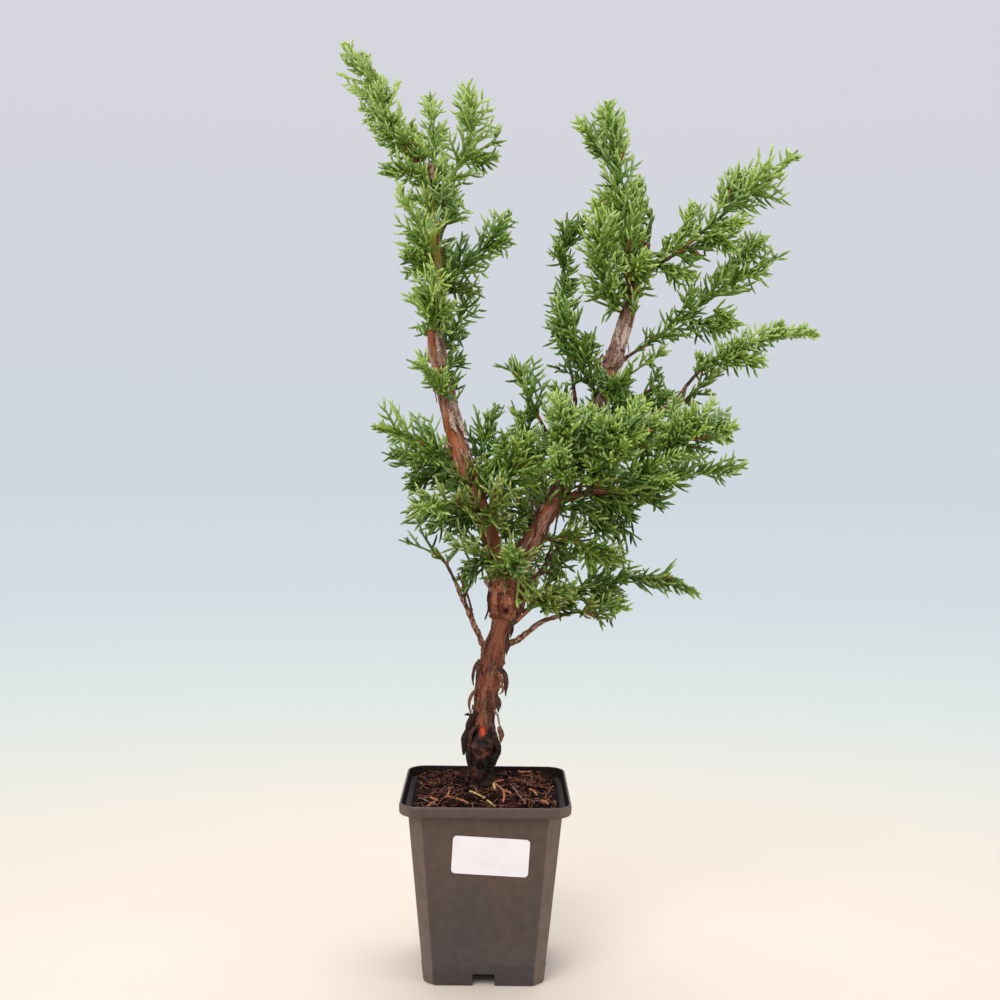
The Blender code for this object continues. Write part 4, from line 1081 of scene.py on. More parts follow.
def clothe_limb(growth, path, low, high, count, size, shade):
    """Short leafy shoots that stand straight on a limb's bark, where the photo shows no bare bark."""
    rng, kind = growth.rng, growth.kind
    frames = stem_frames([p.xyz for p in path])
    ring = [k for k, p in enumerate(path) if low < p.z < high]
    bare = np.array(BARE_SPOTS, dtype=float)
    for number in range(count):
        k = ring[int(rng.integers(len(ring)))]
        (run, across), place = frames[k], path[k]
        side = around(run, across, number * GOLDEN + rng.uniform(-0.3, 0.3))
        foot = place.xyz + side * (place.w - 0.4)
        lean = math.radians(rng.uniform(*LIMB_LEANS))
        direction = (leaning(run, side, lean) + Vector((0, 0, 0.1))).normalized()
        length = size * rng.uniform(*LIMB_SIZES)
        places = np.array([foot[:], (foot + direction * length)[:]])
        if not clear_of_sky(places).all() or (side.y < 0.2 and near_spots(places, bare).any()):
            continue
        family = growth.family(0.5)
        # Painted light: the 0.4 * direction.z term makes shoots that point up lighter and those that point down
        # darker, as if lit from above.
        level = kind["level"] - 0.1 + shade + 0.4 * direction.z + rng.normal(0, 0.35)
        grow_shoot(growth, foot, direction, side, length, family, level)


def grow_piece(growth, piece, stems, sprigs, spaces, fine):
    """Everything that grows on one piece. Gives how far each stem and each sprig is leafy."""
    names = list(MASSES)
    kind_of = {name: kind for kind, group in MASS_KINDS.items() for name in group.split()}
    leafy, leafy_sprigs = {}, {}
    for name in FOLIAGE_PIECES[piece].split():
        index = names.index(name)
        reach = MASSES[name][2] * THIN_MASSES.get(name, REACH_SHARE)
        shade, more_gap = TONES_AND_PAINTED_LIGHT.get(name, 0.0), SPARSE.get(name, 0.0)
        growth.start(MASS_SEED + index, kind_of[name])
        leafy[name] = grow_mass(growth, index, reach, shade, more_gap, *stems[index], spaces)
    for number, (kind, home, _, reach) in enumerate(SPRIGS, SPRIG_SEED):
        if home == piece:
            growth.start(MASS_SEED + number, kind)
            stem = sprigs[number - SPRIG_SEED]
            whole = grow_mass(growth, number, reach, SPRIG_SHADES[kind], 0.0, stem, 0, None)
            leafy_sprigs[number - SPRIG_SEED] = whole
    for number, (limb, low, high, count, size, kind, shade, home) in enumerate(CLOTHED):
        if home == piece:
            growth.start(CLOTHED_SEED + number, kind)
            clothe_limb(growth, fine[limb], low, high, count, size, shade)
    return leafy, leafy_sprigs


def make_foliage(paths, fine):
    """Every mass as its cords, joined into one piece for each part of the crown, and the twigs."""
    stems = [mass_stem(name, paths) for name in MASSES]
    sprigs = [sprig_stem(places) for _, _, places, _ in SPRIGS]
    spaces = [(finder(smooth_path(stem, SPACE_SAMPLES * len(stem))), reach)
              for (stem, _), (_, _, reach, _) in zip(stems, MASSES.values())]
    limb_points = np.array([p[:] for path in fine.values() for p in path[::2]])
    materials = leaf_materials()
    leafy, leafy_sprigs = {}, {}
    for piece, group in FOLIAGE_PIECES.items():
        growth = Growth((limb_points[:, :3], limb_points[:, 3]))
        found, found_sprigs = grow_piece(growth, piece, stems, sprigs, spaces, fine)
        leafy.update(found)
        leafy_sprigs.update(found_sprigs)
        made = growth.shape().make(piece, materials)
        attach(made, "root")
        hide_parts(*group.split())
    make_twigs(stems, leafy, [(sprigs[number], whole) for number, whole in leafy_sprigs.items()])


def sprig_stem(places):
    """The run of a sprig's own stem."""
    knots = [spot(*place) for place in places]
    return smooth_path(knots, max(4, round(path_length(knots) / TURN_STEP)))


# Thin bare twigs that no mass has, as (across, up, back) places.
BARE_TWIGS = [
    [(-16, 246, -14), (-12, 255, -18), (-9, 265, -22)],
    [(-15, 243, -12), (-16.5, 255, -15), (-17.5, 266, -18)],
    [(-10, 233, -8), (-13, 246, -20), (-20, 262, -30)],
    [(38, 272, 14), (42, 282, 6), (45, 299, 0), (46, 312, -6)],
    [(21, 272, 4), (29, 282, -8), (31, 299, -12), (27, 312, -14)],
    [(35, 237, -6), (45, 243, -12), (58, 246, -20)],
    [(12, 221, -4), (18, 231, -8), (23, 238, -10), (26, 252, -14)],
    [(47, 285, 18), (61, 287, 6), (74, 292, -6)],
    [(62, 352, -2), (52, 366, -10), (46, 382, -14)],
    [(74, 372, -6), (84, 384, -14), (92, 392, -20)],
]
# The twigs' radius: thicker for a stem of many turns, and thinner for a sprig.
LONG_STEM = 8
LONG_STEM_RADIUS = 1.25
STEM_RADIUS = 1.05
SPRIG_RADIUS = 0.8
BARE_RADIUS = 0.95
TWIG_TAPER = 0.45
TWIG_PLAY = 0.12
TWIG_SEED = 3
# The share of a twig that is brown, and the share that is brown or orange.
BROWN_LOW = (0.3, 0.5)
BROWN_HIGH = (0.1, 0.22)
BROWN_SPRIG = (0.25, 0.5)
BROWN_ALL = (2.0, 2.0)
# The twigs' looks from foot to tip, as (light, dark) colours.
TWIG_LOOKS = {
    "twig_brown": ((0.112, 0.052, 0.033), (0.042, 0.022, 0.016)),
    "twig_orange": ((0.36, 0.12, 0.045), (0.17, 0.058, 0.025)),
    "twig_green": ((0.17, 0.21, 0.045), (0.10, 0.15, 0.030)),
}


def twig_runs(stems, leafy, sprigs):
    """Each twig's run, its radius, how far along it goes, and its brown and orange shares."""
    runs = []
    for name, (stem, _) in zip(MASSES, stems):
        radius = LONG_STEM_RADIUS if len(stem) > LONG_STEM else STEM_RADIUS
        runs.append((stem, radius, leafy[name], BROWN_LOW if name in LOW_MASSES else BROWN_HIGH))
    runs += [(stem, SPRIG_RADIUS, whole, BROWN_SPRIG) for stem, whole in sprigs if whole > 0]
    for places in BARE_TWIGS:
        runs.append((smooth_path([spot(*p) for p in places], 7), BARE_RADIUS, 1.0, BROWN_ALL))
    return runs


def make_twigs(stems, leafy, sprigs):
    """The stems of the masses: brown at the foot, orange further out and green at the tip."""
    shape = Shape()
    rng = np.random.default_rng(TWIG_SEED)
    for stem, thick, whole, (brown, orange) in twig_runs(stems, leafy, sprigs):
        path = smooth_path(stem, 3 * len(stem))
        rings = max(3, round(whole * 3 * len(stem)))
        share = np.arange(rings + 1) / rings
        radii = thick * (1 - TWIG_TAPER * share) * (1 + TWIG_PLAY * rng.normal(size=rings + 1))
        points, triangles, segments = path_tube(path[:rings + 1], radii, 7, 1.0)
        slots = np.select([segments < rings * brown, segments < rings * orange], [0, 1], 2)
        shape.add(points, triangles, slots)
    made = shape.make("twigs", [twig_material(name, *look) for name, look in TWIG_LOOKS.items()])
    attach(made, "root")


def twig_material(name, light, dark, shine=0.25):
    """A rough, flecked material for twigs, strips of bark and what lies on the compost."""
    made, tree, shader = new_material(name)
    flecks = noise_node(tree, 0.7, 5.0)
    dress(tree, shader, ramp(tree, flecks, [(0.35, dark), (0.65, light)]), 0.8, shine)
    bump(tree, shader, flecks, 0.7, 0.3)
    return made


# Bark

THICK_LIMBS = ("trunk", "left_stem", "right_stem", "mid_right_bough")
BARK_VOXEL = 0.66
SKIN_SIDES = 24
BOUGH_SIDES = 14
SKIN_SHARE = 0.97
SKIN_LESS = 0.45
# How much old outer bark each limb keeps over the smooth inner bark at random, how grey that bark is,
# and how warm the inner bark is: dark red on the trunk and brighter on the stems.
BARK_KINDS = {
    "trunk": (0.22, 0.05, 0.0), "left_stem": (0.22, 0.75, 1.0), "right_stem": (0.62, 0.85, 0.6),
    "mid_right_bough": (0.5, 0.2, 0.3),
}
# Plates of old bark: the limb, from and to which height, the way they face as (x, y), how far round
# they go in degrees, how thick they are, how grey and how warm.
PLATES = [
    ("trunk", 233.4, 272, (0, -1), 180, 1.6, 0.0, 1.0),
    ("left_stem", 357, 392, (0.85, -0.55), 72, 1.4, 1.0, 0.0),
    ("left_stem", 398, 432, (0.95, -0.3), 76, 1.1, 0.9, 0.0),
    ("left_stem", 300, 330, (-0.8, 0.6), 70, 0.9, 0.5, 0.0),
    ("right_stem", 362, 392, (-0.3, -0.95), 120, 0.7, 0.9, 0.0),
    ("right_stem", 398, 412, (0, -1), 180, 1.3, 1.0, 0.0),
    ("right_stem", 412, 440, (0.5, -0.85), 120, 0.8, 0.8, 0.3),
    ("right_stem", 286, 330, (-0.85, 0.3), 65, 1.2, 0.0, 0.0),
]
# Knots, swellings and hollows on the side that faces the camera: where they are seen, as (across, up),
# how wide, how far out, and how deep the pit in it.
KNOTS = [
    ((-12, 150), 6.5, 2.6, 0.0), ((3, 150), 6.5, 1.2, 0.0), ((-11, 166), 3.6, 1.6, 0.0),
    ((-5, 140), 7.0, 1.0, 0.0), ((5, 145), 5.0, 1.2, 0.0), ((12.4, 237.5), 6.4, 0.6, 4.4),
    ((7, 244), 4.2, 1.2, 0.0), ((16.5, 247), 3.8, 1.2, 0.0), ((8.6, 249.5), 3.0, 0.2, 1.2),
    ((-4.8, 199.6), 3.4, 1.4, 2.8), ((-3.2, 195.6), 2.2, 0.6, 1.4), ((0.4, 182.7), 3.0, 1.3, 1.8),
    ((4.2, 180), 2.6, 1.0, 1.2), ((10, 204), 3.4, 1.3, 0.0), ((-1.8, 213), 4.2, 1.5, 0.0),
    ((1.2, 207), 3.0, 1.2, 1.0), ((12.4, 215), 4.2, 1.5, 0.0), ((9.6, 209), 2.6, 1.1, 0.8),
    ((9, 187), 3.2, 1.2, 0.0), ((7, 170), 3.0, 1.4, 0.0), ((20, 247), 5.0, 1.2, 0.0),
    ((-30, 430), 3.4, 1.2, 1.2), ((-37, 408), 3.2, 1.2, 0.0), ((75, 404), 4.0, 1.6, 1.0),
    ((86, 402), 3.6, 1.4, 0.0), ((-6, 304), 4.5, 1.2, 0.0), ((38, 290), 4.0, 1.2, 0.8),
    ((30, 284), 4.0, 1.4, 0.0),
]
# The fresh wound and the reddest patch of the wet foot, with half their width and height, the
# height where the trunk is narrowest under its plate, and the height up to which it is wet.
WOUND = ((-2.6, 156.8), (1.9, 3.1))
RED_PATCH = ((-3.4, 141.0), (3.8, 4.4))
WAIST = 226.0
WET_TOP = 160.0
# The height where the skin ends, below the compost's top, and the shift of each limb's pattern.
SKIN_FOOT = GROUND - 1.5
LIMB_SHIFT = 37.0
# The size of the bark's patterns round and along a limb: fibres, fine grain, lumps, the lines between
# strips, and plates.
FIBRE = (1.3, 13.0)
GRAIN = (0.62, 6.0)
LUMP = (6.5, 12.0)
STRIP = (2.4, 26.0)
CELL = (4.2, 13.0)
# The bark's colours as (dark, middle, light), and the tones where they stand.
TONES = (0.12, 0.5, 0.92)
BARK_COLOURS = {
    "red": ((0.090, 0.022, 0.012), (0.215, 0.062, 0.034), (0.36, 0.125, 0.070)),
    "orange": ((0.175, 0.042, 0.014), (0.370, 0.105, 0.037), (0.54, 0.210, 0.090)),
    "brown": ((0.030, 0.014, 0.010), (0.115, 0.046, 0.028), (0.28, 0.130, 0.078)),
    "tan": ((0.110, 0.034, 0.018), (0.290, 0.092, 0.048), (0.48, 0.200, 0.098)),
    "ashen": ((0.15, 0.072, 0.045), (0.35, 0.212, 0.152), (0.64, 0.480, 0.40)),
    "green": ((0.125, 0.105, 0.018), (0.36, 0.34, 0.050), (0.54, 0.53, 0.12)),
}
PATCH_COLOUR = (0.29, 0.105, 0.058)
# Painted shade in the knots' hollows, in the cracks and slits and along the plates' edges.
PAINTED_SHADE_COLOUR = (0.018, 0.008, 0.006)
WOUND_COLOUR = (0.66, 0.075, 0.012)
SOAKED = [(0.3, (0.007, 0.004, 0.003)), (0.55, (0.020, 0.009, 0.006)), (0.8, (0.065, 0.024, 0.014)),
          (1.0, (0.135, 0.042, 0.024))]


def smoothstep(low, high, value):
    """From 0 at low to 1 at high, smooth at both."""
    t = np.clip((value - low) / (high - low), 0.0, 1.0)
    return t * t * (3 - 2 * t)


def noise_at(places, octaves=3):
    """Fractal noise at each place."""
    return np.array([noise.fractal(p, 0.9, 2.0, octaves) for p in places.tolist()])


def cells_at(places):
    """For each place, how far it is inside its cell, and a number from 0 to 1 that its cell has."""
    depth, lot = [], []
    for place in places.tolist():
        near, centres = noise.voronoi(place)
        depth.append(near[1] - near[0])
        c = centres[0]
        lot.append(math.sin(c[0] * 12.9898 + c[1] * 78.233 + c[2] * 37.719) * 43758.5453 % 1.0)
    return np.array(depth), np.array(lot)


def finished_mesh(obj):
    """A mesh of its own, as the object's modifiers leave it."""
    return bpy.data.meshes.new_from_object(obj.evaluated_get(bpy.context.evaluated_depsgraph_get()))


def limb_skin(fine):
    """One closed skin round the thick limbs, with no seams where they join."""
    shape = Shape()
    for name in THICK_LIMBS:
        path = fine[name]
        points, triangles, _ = path_tube(path, [p.w * SKIN_SHARE - SKIN_LESS for p in path], SKIN_SIDES)
        shape.add(points, triangles, 0)
    rough = shape.make("limb_skin", [])
    remesh = rough.modifiers.new("join", "REMESH")
    remesh.mode = "VOXEL"
    remesh.voxel_size = BARK_VOXEL * MM
    even = rough.modifiers.new("even", "SMOOTH")
    even.factor = 0.5
    even.iterations = 3
    mesh = finished_mesh(rough)
    bpy.data.objects.remove(rough)
    return mesh


def limb_coordinates(points, fine):
    """For each point: its limb's number, how far along it is, its radius there, and its direction out."""
    places, facts = [], []
    for number, name in enumerate(THICK_LIMBS):
        for k, (p, (run, across)) in enumerate(zip(fine[name], stem_frames([q.xyz for q in fine[name]]))):
            places.append(p)
            facts.append((number, k, p.w, *run, *across))
    tree = finder(places)
    nearest = [tree.find(p)[1] for p in points.tolist()]
    facts = np.array(facts)[nearest]
    centres = np.array([p[:3] for p in places])[nearest]
    limb, along, radius = facts[:, 0].astype(int), facts[:, 1], facts[:, 2]
    run, across = facts[:, 3:6], facts[:, 6:9]
    spread = points - centres
    along = along + (spread * run).sum(axis=1)
    spread -= run * (spread * run).sum(axis=1, keepdims=True)
    out = unit(spread)
    other = np.cross(run, across)
    turn = np.stack([(out * across).sum(axis=1), (out * other).sum(axis=1)], axis=1)
    return limb, along, radius, out, turn


def limb_numbers(limb, column):
    """That column of BARK_KINDS at each point."""
    return np.array([BARK_KINDS[name][column] for name in THICK_LIMBS])[limb]


def plates_at(limb, up, out, ragged):
    """The plates of old bark at each point, with ragged edges: thickness, how grey, how warm, how whole."""
    thick, grey, warm, whole = (np.zeros(len(up)) for _ in range(4))
    for name, low, high, facing, half, height, ashen, ruddy in PLATES:
        edge = smoothstep(low - 0.5, low + 0.6, up + 2.6 * ragged) \
            * smoothstep(high + 3, high - 3, up + 6 * ragged)
        way = np.array(facing) / math.hypot(*facing)
        angle = np.degrees(np.arccos(np.clip(out[:, :2] @ way, -1, 1)))
        if half < 180:
            edge = edge * smoothstep(half + 8, half - 4, angle + 30 * ragged)
        edge = edge * (limb == THICK_LIMBS.index(name))
        thick = np.maximum(thick, edge * height)
        grey = np.where(edge > 0.4, ashen, grey)
        warm = np.where(edge > 0.4, ruddy, warm)
        whole = np.maximum(whole, edge)
    return thick, grey, warm, whole


def seen_spot(points, place, size):
    """How far each point is seen from the place, in the spot's own sizes."""
    return np.linalg.norm((seen_at(points) - np.array(place)) / np.array(size), axis=1)


def knots_at(points, front):
    """Swellings, the hollows in them, and the painted shade in those hollows."""
    relief, painted_shade = np.zeros(len(points)), np.zeros(len(points))
    for place, wide, height, hollow in KNOTS:
        near = seen_spot(points, place, (wide, wide))
        relief += front * (height * np.exp(-near**2 * 1.4) - hollow * np.exp(-near**2 * 7.0))
        if hollow:
            painted_shade = np.maximum(painted_shade, front * np.exp(-near**2 * 6.0))
    return relief, painted_shade


def bark_pattern(limb, along, turn, radius):
    """The bark's fibres, grain, lumps and lines at each point, and its cells' depth and lot."""
    wrap = turn * radius[:, None]
    run = along + limb * LIMB_SHIFT

    def pattern(size):
        return np.column_stack([wrap / size[0], run / size[1]])

    fibre = noise_at(pattern(FIBRE))
    thin = noise_at(pattern(GRAIN), 2)
    lumps = noise_at(pattern(LUMP), 2)
    strips = noise_at(pattern(STRIP) + 40, 2)
    depth, lot = cells_at(pattern(CELL) + 0.4 * np.column_stack([fibre, lumps, thin]))
    return fibre, thin, lumps, strips, depth, lot


def bark_relief(points, fine):
    """How far out each point of the skin goes, and the facts that its colour needs."""
    limb, along, radius, out, turn = limb_coordinates(points, fine)
    up, trunk = points[:, 2], limb == 0
    fibre, thin, lumps, strips, depth, lot = bark_pattern(limb, along, turn, radius)
    edges = smoothstep(0.6, 0.95, np.abs(out[:, 0])) * trunk
    share = limb_numbers(limb, 0) + 0.4 * edges + 0.25 * (out[:, 1] > 0.3) + 0.5 * smoothstep(172, 150, up)
    old = smoothstep(0.03, 0.12, depth) * (lot < share)
    crack = 1 - smoothstep(0.0, 0.07, depth)
    slit = (1 - smoothstep(0.0, 0.08, np.abs(strips))) * smoothstep(0.0, 0.35, lumps)
    thick, grey, warm, whole = plates_at(limb, up, out, 0.6 * fibre + 0.7 * lumps)
    rough = np.maximum(old, whole)
    loose = old * (1 - whole)
    relief = (0.14 + 0.16 * rough) * fibre + 0.13 * thin + 0.5 * lumps
    relief += loose * (0.4 + 0.6 * lot) + thick + whole * (1.8 * (lot - 0.5) - 0.6 * crack)
    relief -= rough * (0.3 * slit + 0.2 * crack)
    relief *= np.clip(radius / 6.5, 0.5, 1.15)
    relief -= 0.5 * np.exp(-((up - WAIST) / 8.0)**2) * trunk
    wet = smoothstep(WET_TOP + 6, WET_TOP - 5, up + 8 * lumps + 5 * fibre) * trunk
    knobs = noise_at(points / 5.0, 3)
    relief += wet * (0.9 * knobs + 0.2 * np.abs(thin))
    front = smoothstep(0.45, 0.05, out[:, 1])
    swell, painted_shade = knots_at(points, front)
    relief += swell
    ragged = np.clip(1 + 0.6 * lumps + 0.3 * fibre, 0.4, 1.8)
    wound = front * np.exp(-seen_spot(points, *WOUND)**3 * ragged)
    relief -= 0.6 * wound
    ruddy = front * np.exp(-seen_spot(points, *RED_PATCH)**4)
    edge = whole * (1 - whole) * 4
    # Painted shade: darkest in the knots' hollows, in the cracks and slits of the bark and along the plates'
    # edges.
    painted_shades = [painted_shade, 0.7 * crack * old, 0.6 * crack * whole, 0.4 * slit * old * (1 - whole), 0.8 * edge]
    tone = 0.5 + (0.2 + 0.25 * old * (1 - whole) * (1 - wet)) * fibre + (0.12 + 0.12 * rough) * thin
    tone = tone + 0.3 * lumps + 0.6 * whole * (lot - 0.5) + wet * (0.5 * knobs + 0.5 * ruddy)
    return out, relief, dict(
        old=rough, wet=wet, wound=wound, painted_shade=np.max(painted_shades, axis=0), tone=tone,
        grey=np.where(whole > 0.4, grey, limb_numbers(limb, 1) * (0.7 + 0.4 * lot)),
        warm=np.where(whole > 0.4, warm, limb_numbers(limb, 2)),
        young=smoothstep(445, 474, up + 16 * lumps) * (1 - 0.7 * old))


def bark_colour(tree, fact):
    """The bark's dry colour: inner bark, old bark over it, green young wood, and painted shade in the hollows,
    cracks and slits and along the plates' edges.
    """
    def toned(name):
        return ramp(tree, fact("tone"), list(zip(TONES, BARK_COLOURS[name])))

    patches = ramp(tree, noise_node(tree, 0.15, 4.0), [(0.42, 0.0), (0.68, 0.55)])
    inner = mix_colour(tree, fact("warm"), toned("red"), toned("orange"))
    inner = mix_colour(tree, patches, inner, PATCH_COLOUR)
    old = mix_colour(tree, fact("warm"), toned("brown"), toned("tan"))
    old = mix_colour(tree, fact("grey"), old, toned("ashen"))
    colour = mix_colour(tree, fact("old"), inner, old)
    colour = mix_colour(tree, fact("young"), colour, toned("green"))
    # Painted shade laid over the colour in the hollows, cracks and slits and along the plates' edges.
    return mix_colour(tree, fact("painted_shade"), colour, PAINTED_SHADE_COLOUR)


def bark_material():
    """The bark of the limbs and boughs, coloured by the facts on their points."""
    made, tree, shader = new_material("bark")

    def fact(name):
        return node(tree, "ShaderNodeAttribute", attribute_name=name).outputs["Fac"]

    specks = noise_node(tree, 1.2, 6.0, (1, 1, 0.35))
    colour = mix_colour(tree, fact("wet"), bark_colour(tree, fact), ramp(tree, fact("tone"), SOAKED))
    colour = mix_colour(tree, fact("wound"), colour, WOUND_COLOUR)
    colour = mix_colour(tree, 0.85, colour, ramp(tree, specks, [(0.3, 0.62), (0.7, 1.2)]), "MULTIPLY")
    dress(tree, shader, colour, ramp(tree, fact("wet"), [(0.2, 0.8), (0.9, 0.5)]), 0.22)
    bump(tree, shader, specks, 0.9, 0.4)
    return made


def make_bark(fine, material):
    """The trunk and the thick limbs as one skin with the bark's relief."""
    mesh = limb_skin(fine)
    points = np.empty(3 * len(mesh.vertices), dtype=np.float32)
    mesh.vertices.foreach_get("co", points)
    points = points.reshape(-1, 3) / MM
    out, relief, facts = bark_relief(points.astype(float), fine)
    points = points + out * relief[:, None]
    points[:, 2] = np.maximum(points[:, 2], SKIN_FOOT)
    mesh.vertices.foreach_set("co", (points * MM).astype(np.float32).ravel())
    set_facts(mesh, facts)
    mesh.materials.clear()
    mesh.materials.append(material)
    mesh.update()
    mesh.shade_smooth()
    made = new_object("bark", mesh)
    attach(made, "root")
    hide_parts(*THICK_LIMBS)


def make_boughs(fine, material):
    """The thin boughs, knobbly and scaly, each a tapering tube."""
    shape, facts = Shape(), []
    thin = [name for name in LIMBS if name not in THICK_LIMBS]
    for number, name in enumerate(thin):
        path = fine[name]
        points, triangles, _ = path_tube(path, [p.w for p in path], BOUGH_SIDES, 0.8)
        centres = np.repeat(np.array([p.xyz for p in path]), BOUGH_SIDES, axis=0)
        out = unit(points[:-1] - centres)
        bumps = noise_at(points[:-1] / np.array([1.4, 1.4, 2.4]) + number * 9)
        knobs = noise_at(points[:-1] / 4.0 + number * 5, 2)
        points[:-1] += out * (0.4 * bumps + 0.55 * knobs)[:, None]
        shape.add(points, triangles, 0)
        facts.append(np.append(bumps, 0.0))
    made = shape.make("boughs", [material])
    bumps = np.concatenate(facts)
    even = np.ones(len(bumps))
    set_facts(made.data, dict(old=even, grey=0.15 + 0.5 * bumps, warm=0.3 * even, tone=0.52 + 0.55 * bumps))
    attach(made, "root")
    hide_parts(*thin)


# Peeling strips of bark that the photo shows standing off the trunk: their run of (across, up, back)
# places from the seat to the free end, their width and their tint.
FLAPS = [
    ([(2.0, 256, -4), (0.2, 247, -5), (0.6, 239, -5), (-1.4, 231.5, -4)], 3.0, "black"),
    ([(2.4, 250, -6), (0.9, 243, -6), (2.0, 237, -6)], 2.6, "dark"),
    ([(-5.2, 205, 0), (-8.2, 199, -1), (-9.6, 193, -1), (-8.8, 187.5, -1)], 3.6, "dark"),
    ([(-6.6, 186, 0), (-10.6, 179.5, -1), (-11.6, 174, -1), (-10.4, 167.5, 0)], 2.9, "brown"),
    ([(-8.5, 165, 2), (-12.4, 167.9, 0), (-15.1, 167.4, 0)], 2.6, "dark"),
    ([(-9.4, 163, 3), (-12.8, 156, 2), (-14.6, 149, 2), (-14.4, 141, 3)], 8.4, "black"),
    ([(-8.0, 160, -2), (-10.6, 154, -2), (-10.8, 147, -1)], 3.6, "dark"),
    ([(-6.5, 170, 0), (-10.0, 165, -1), (-12.4, 158, 0), (-13.8, 150, 1)], 4.6, "black"),
    ([(-8.0, 150, 0), (-11.4, 144, 0), (-11.8, 137, 1), (-10.6, 130, 2)], 5.0, "black"),
    ([(6.0, 152, 0), (8.4, 147, 0), (7.8, 141, 1), (5.8, 134, 2)], 4.4, "black"),
    ([(8.2, 200, -2), (11.8, 195, -3), (13.0, 189, -3), (12.4, 180.5, -2)], 4.4, "dark"),
    ([(7.4, 197, -4), (9.6, 192, -5), (10.4, 187, -5)], 3.0, "brown"),
    ([(5.8, 183.5, -5), (8.2, 187.2, -7), (10.6, 186.4, -7), (10.0, 183.2, -7), (8.0, 181.8, -6)],
     2.6, "red"),
    ([(5.2, 181, -2), (8.0, 176, -3), (7.6, 169.5, -2)], 4.2, "dark"),
    ([(5.0, 171.5, -1), (7.6, 166.5, -1), (8.8, 160, -2), (9.2, 156, -2)], 1.9, "tan"),
    ([(8.2, 160, -2), (9.8, 155, -3), (9.6, 149.2, -3)], 5.4, "brown"),
    ([(5.4, 149, 0), (8.0, 145.4, -1), (6.6, 140, 0), (5.2, 137, 0)], 2.4, "black"),
    ([(-1.4, 217, -5), (-3.4, 209, -6.4), (-4.0, 203, -6.4)], 2.6, "brown"),
    ([(3.0, 214, -6.6), (1.2, 207, -7.6), (1.8, 200, -7.6)], 2.4, "brown"),
    ([(12.4, 222, -2), (13.8, 215, -3), (12.6, 208, -3)], 3.4, "dark"),
    ([(10.8, 212, -5), (10.8, 205, -6), (8.8, 199, -6)], 2.4, "brown"),
    ([(-4.4, 204, -3), (-6.0, 199, -4), (-5.2, 194, -4)], 2.4, "dark"),
    ([(1.0, 187, -6.6), (0.2, 181, -7.4), (1.6, 175, -7.4)], 1.4, "dark"),
    ([(3.2, 185, -6.8), (4.6, 179, -7.4), (3.6, 172, -7.4)], 1.6, "brown"),
    ([(20.0, 252, -5), (21.0, 241, -6), (20.8, 232.0, -6)], 5.6, "red"),
    ([(12.5, 248, -10.6), (15.6, 240, -11.6), (14.8, 233, -11)], 3.8, "red"),
    ([(4.2, 247, -9), (4.6, 240, -10.6), (7.2, 233.5, -10.6)], 3.8, "red"),
    ([(8, 259, -11.6), (10.6, 254, -12), (11.6, 246, -12)], 2.4, "tan"),
    ([(15.2, 232, -3), (16.6, 225, -4), (14.8, 219.5, -3)], 2.6, "black"),
    ([(-21, 366, -7), (-17.6, 358, -10), (-15.6, 353.5, -10.8)], 3.6, "grey"),
    ([(-25, 364, -7), (-22.4, 357, -9.2), (-20.8, 354.5, -9.6)], 2.8, "grey"),
    ([(86.5, 428, 0), (90.0, 416, -2), (91.5, 404, -3)], 1.1, "tan"),
    ([(82, 424, -4), (84.5, 411, -7), (84.6, 401, -7)], 2.2, "grey"),
    ([(74, 408, -5), (67.5, 400, -6), (65, 397, -6)], 2.0, "brown"),
    ([(45, 316, -8), (41, 306, -9), (38.5, 301, -8)], 2.4, "dark"),
    ([(52, 322, -6), (54.5, 312, -8), (54, 305, -8)], 2.0, "brown"),
]
FLAP_TINTS = {
    "black": ((0.036, 0.016, 0.010), (0.010, 0.005, 0.003)),
    "dark": ((0.110, 0.042, 0.024), (0.026, 0.011, 0.007)),
    "brown": ((0.230, 0.090, 0.048), (0.070, 0.027, 0.015)),
    "red": ((0.300, 0.098, 0.052), (0.120, 0.038, 0.022)),
    "tan": ((0.420, 0.280, 0.190), (0.170, 0.090, 0.055)),
    "grey": ((0.520, 0.410, 0.350), (0.190, 0.115, 0.085)),
}
# Small loose strips all round: how many each limb has, and the tints they are drawn from.
LOOSE_STRIPS = {
    "trunk": (60, ("dark", "brown", "red", "brown")), "left_stem": (50, ("grey", "brown", "red", "grey")),
    "right_stem": (70, ("grey", "tan", "brown", "grey")),
}
FLAP_SEED = 5
LOOSE_LENGTHS = (4, 13)
LOOSE_WIDTHS = (0.8, 2.2)
LOOSE_LIFTS = (0.2, 1.8)
LOOSE_SPAN = (0.06, 0.92)
HANGING_SHARE = 0.75
WOUND_CLEARANCE = 3.6
FLAP_THICKNESS = 0.15
FLAP_COLUMNS = (-0.5, -0.2, 0.17, 0.5)


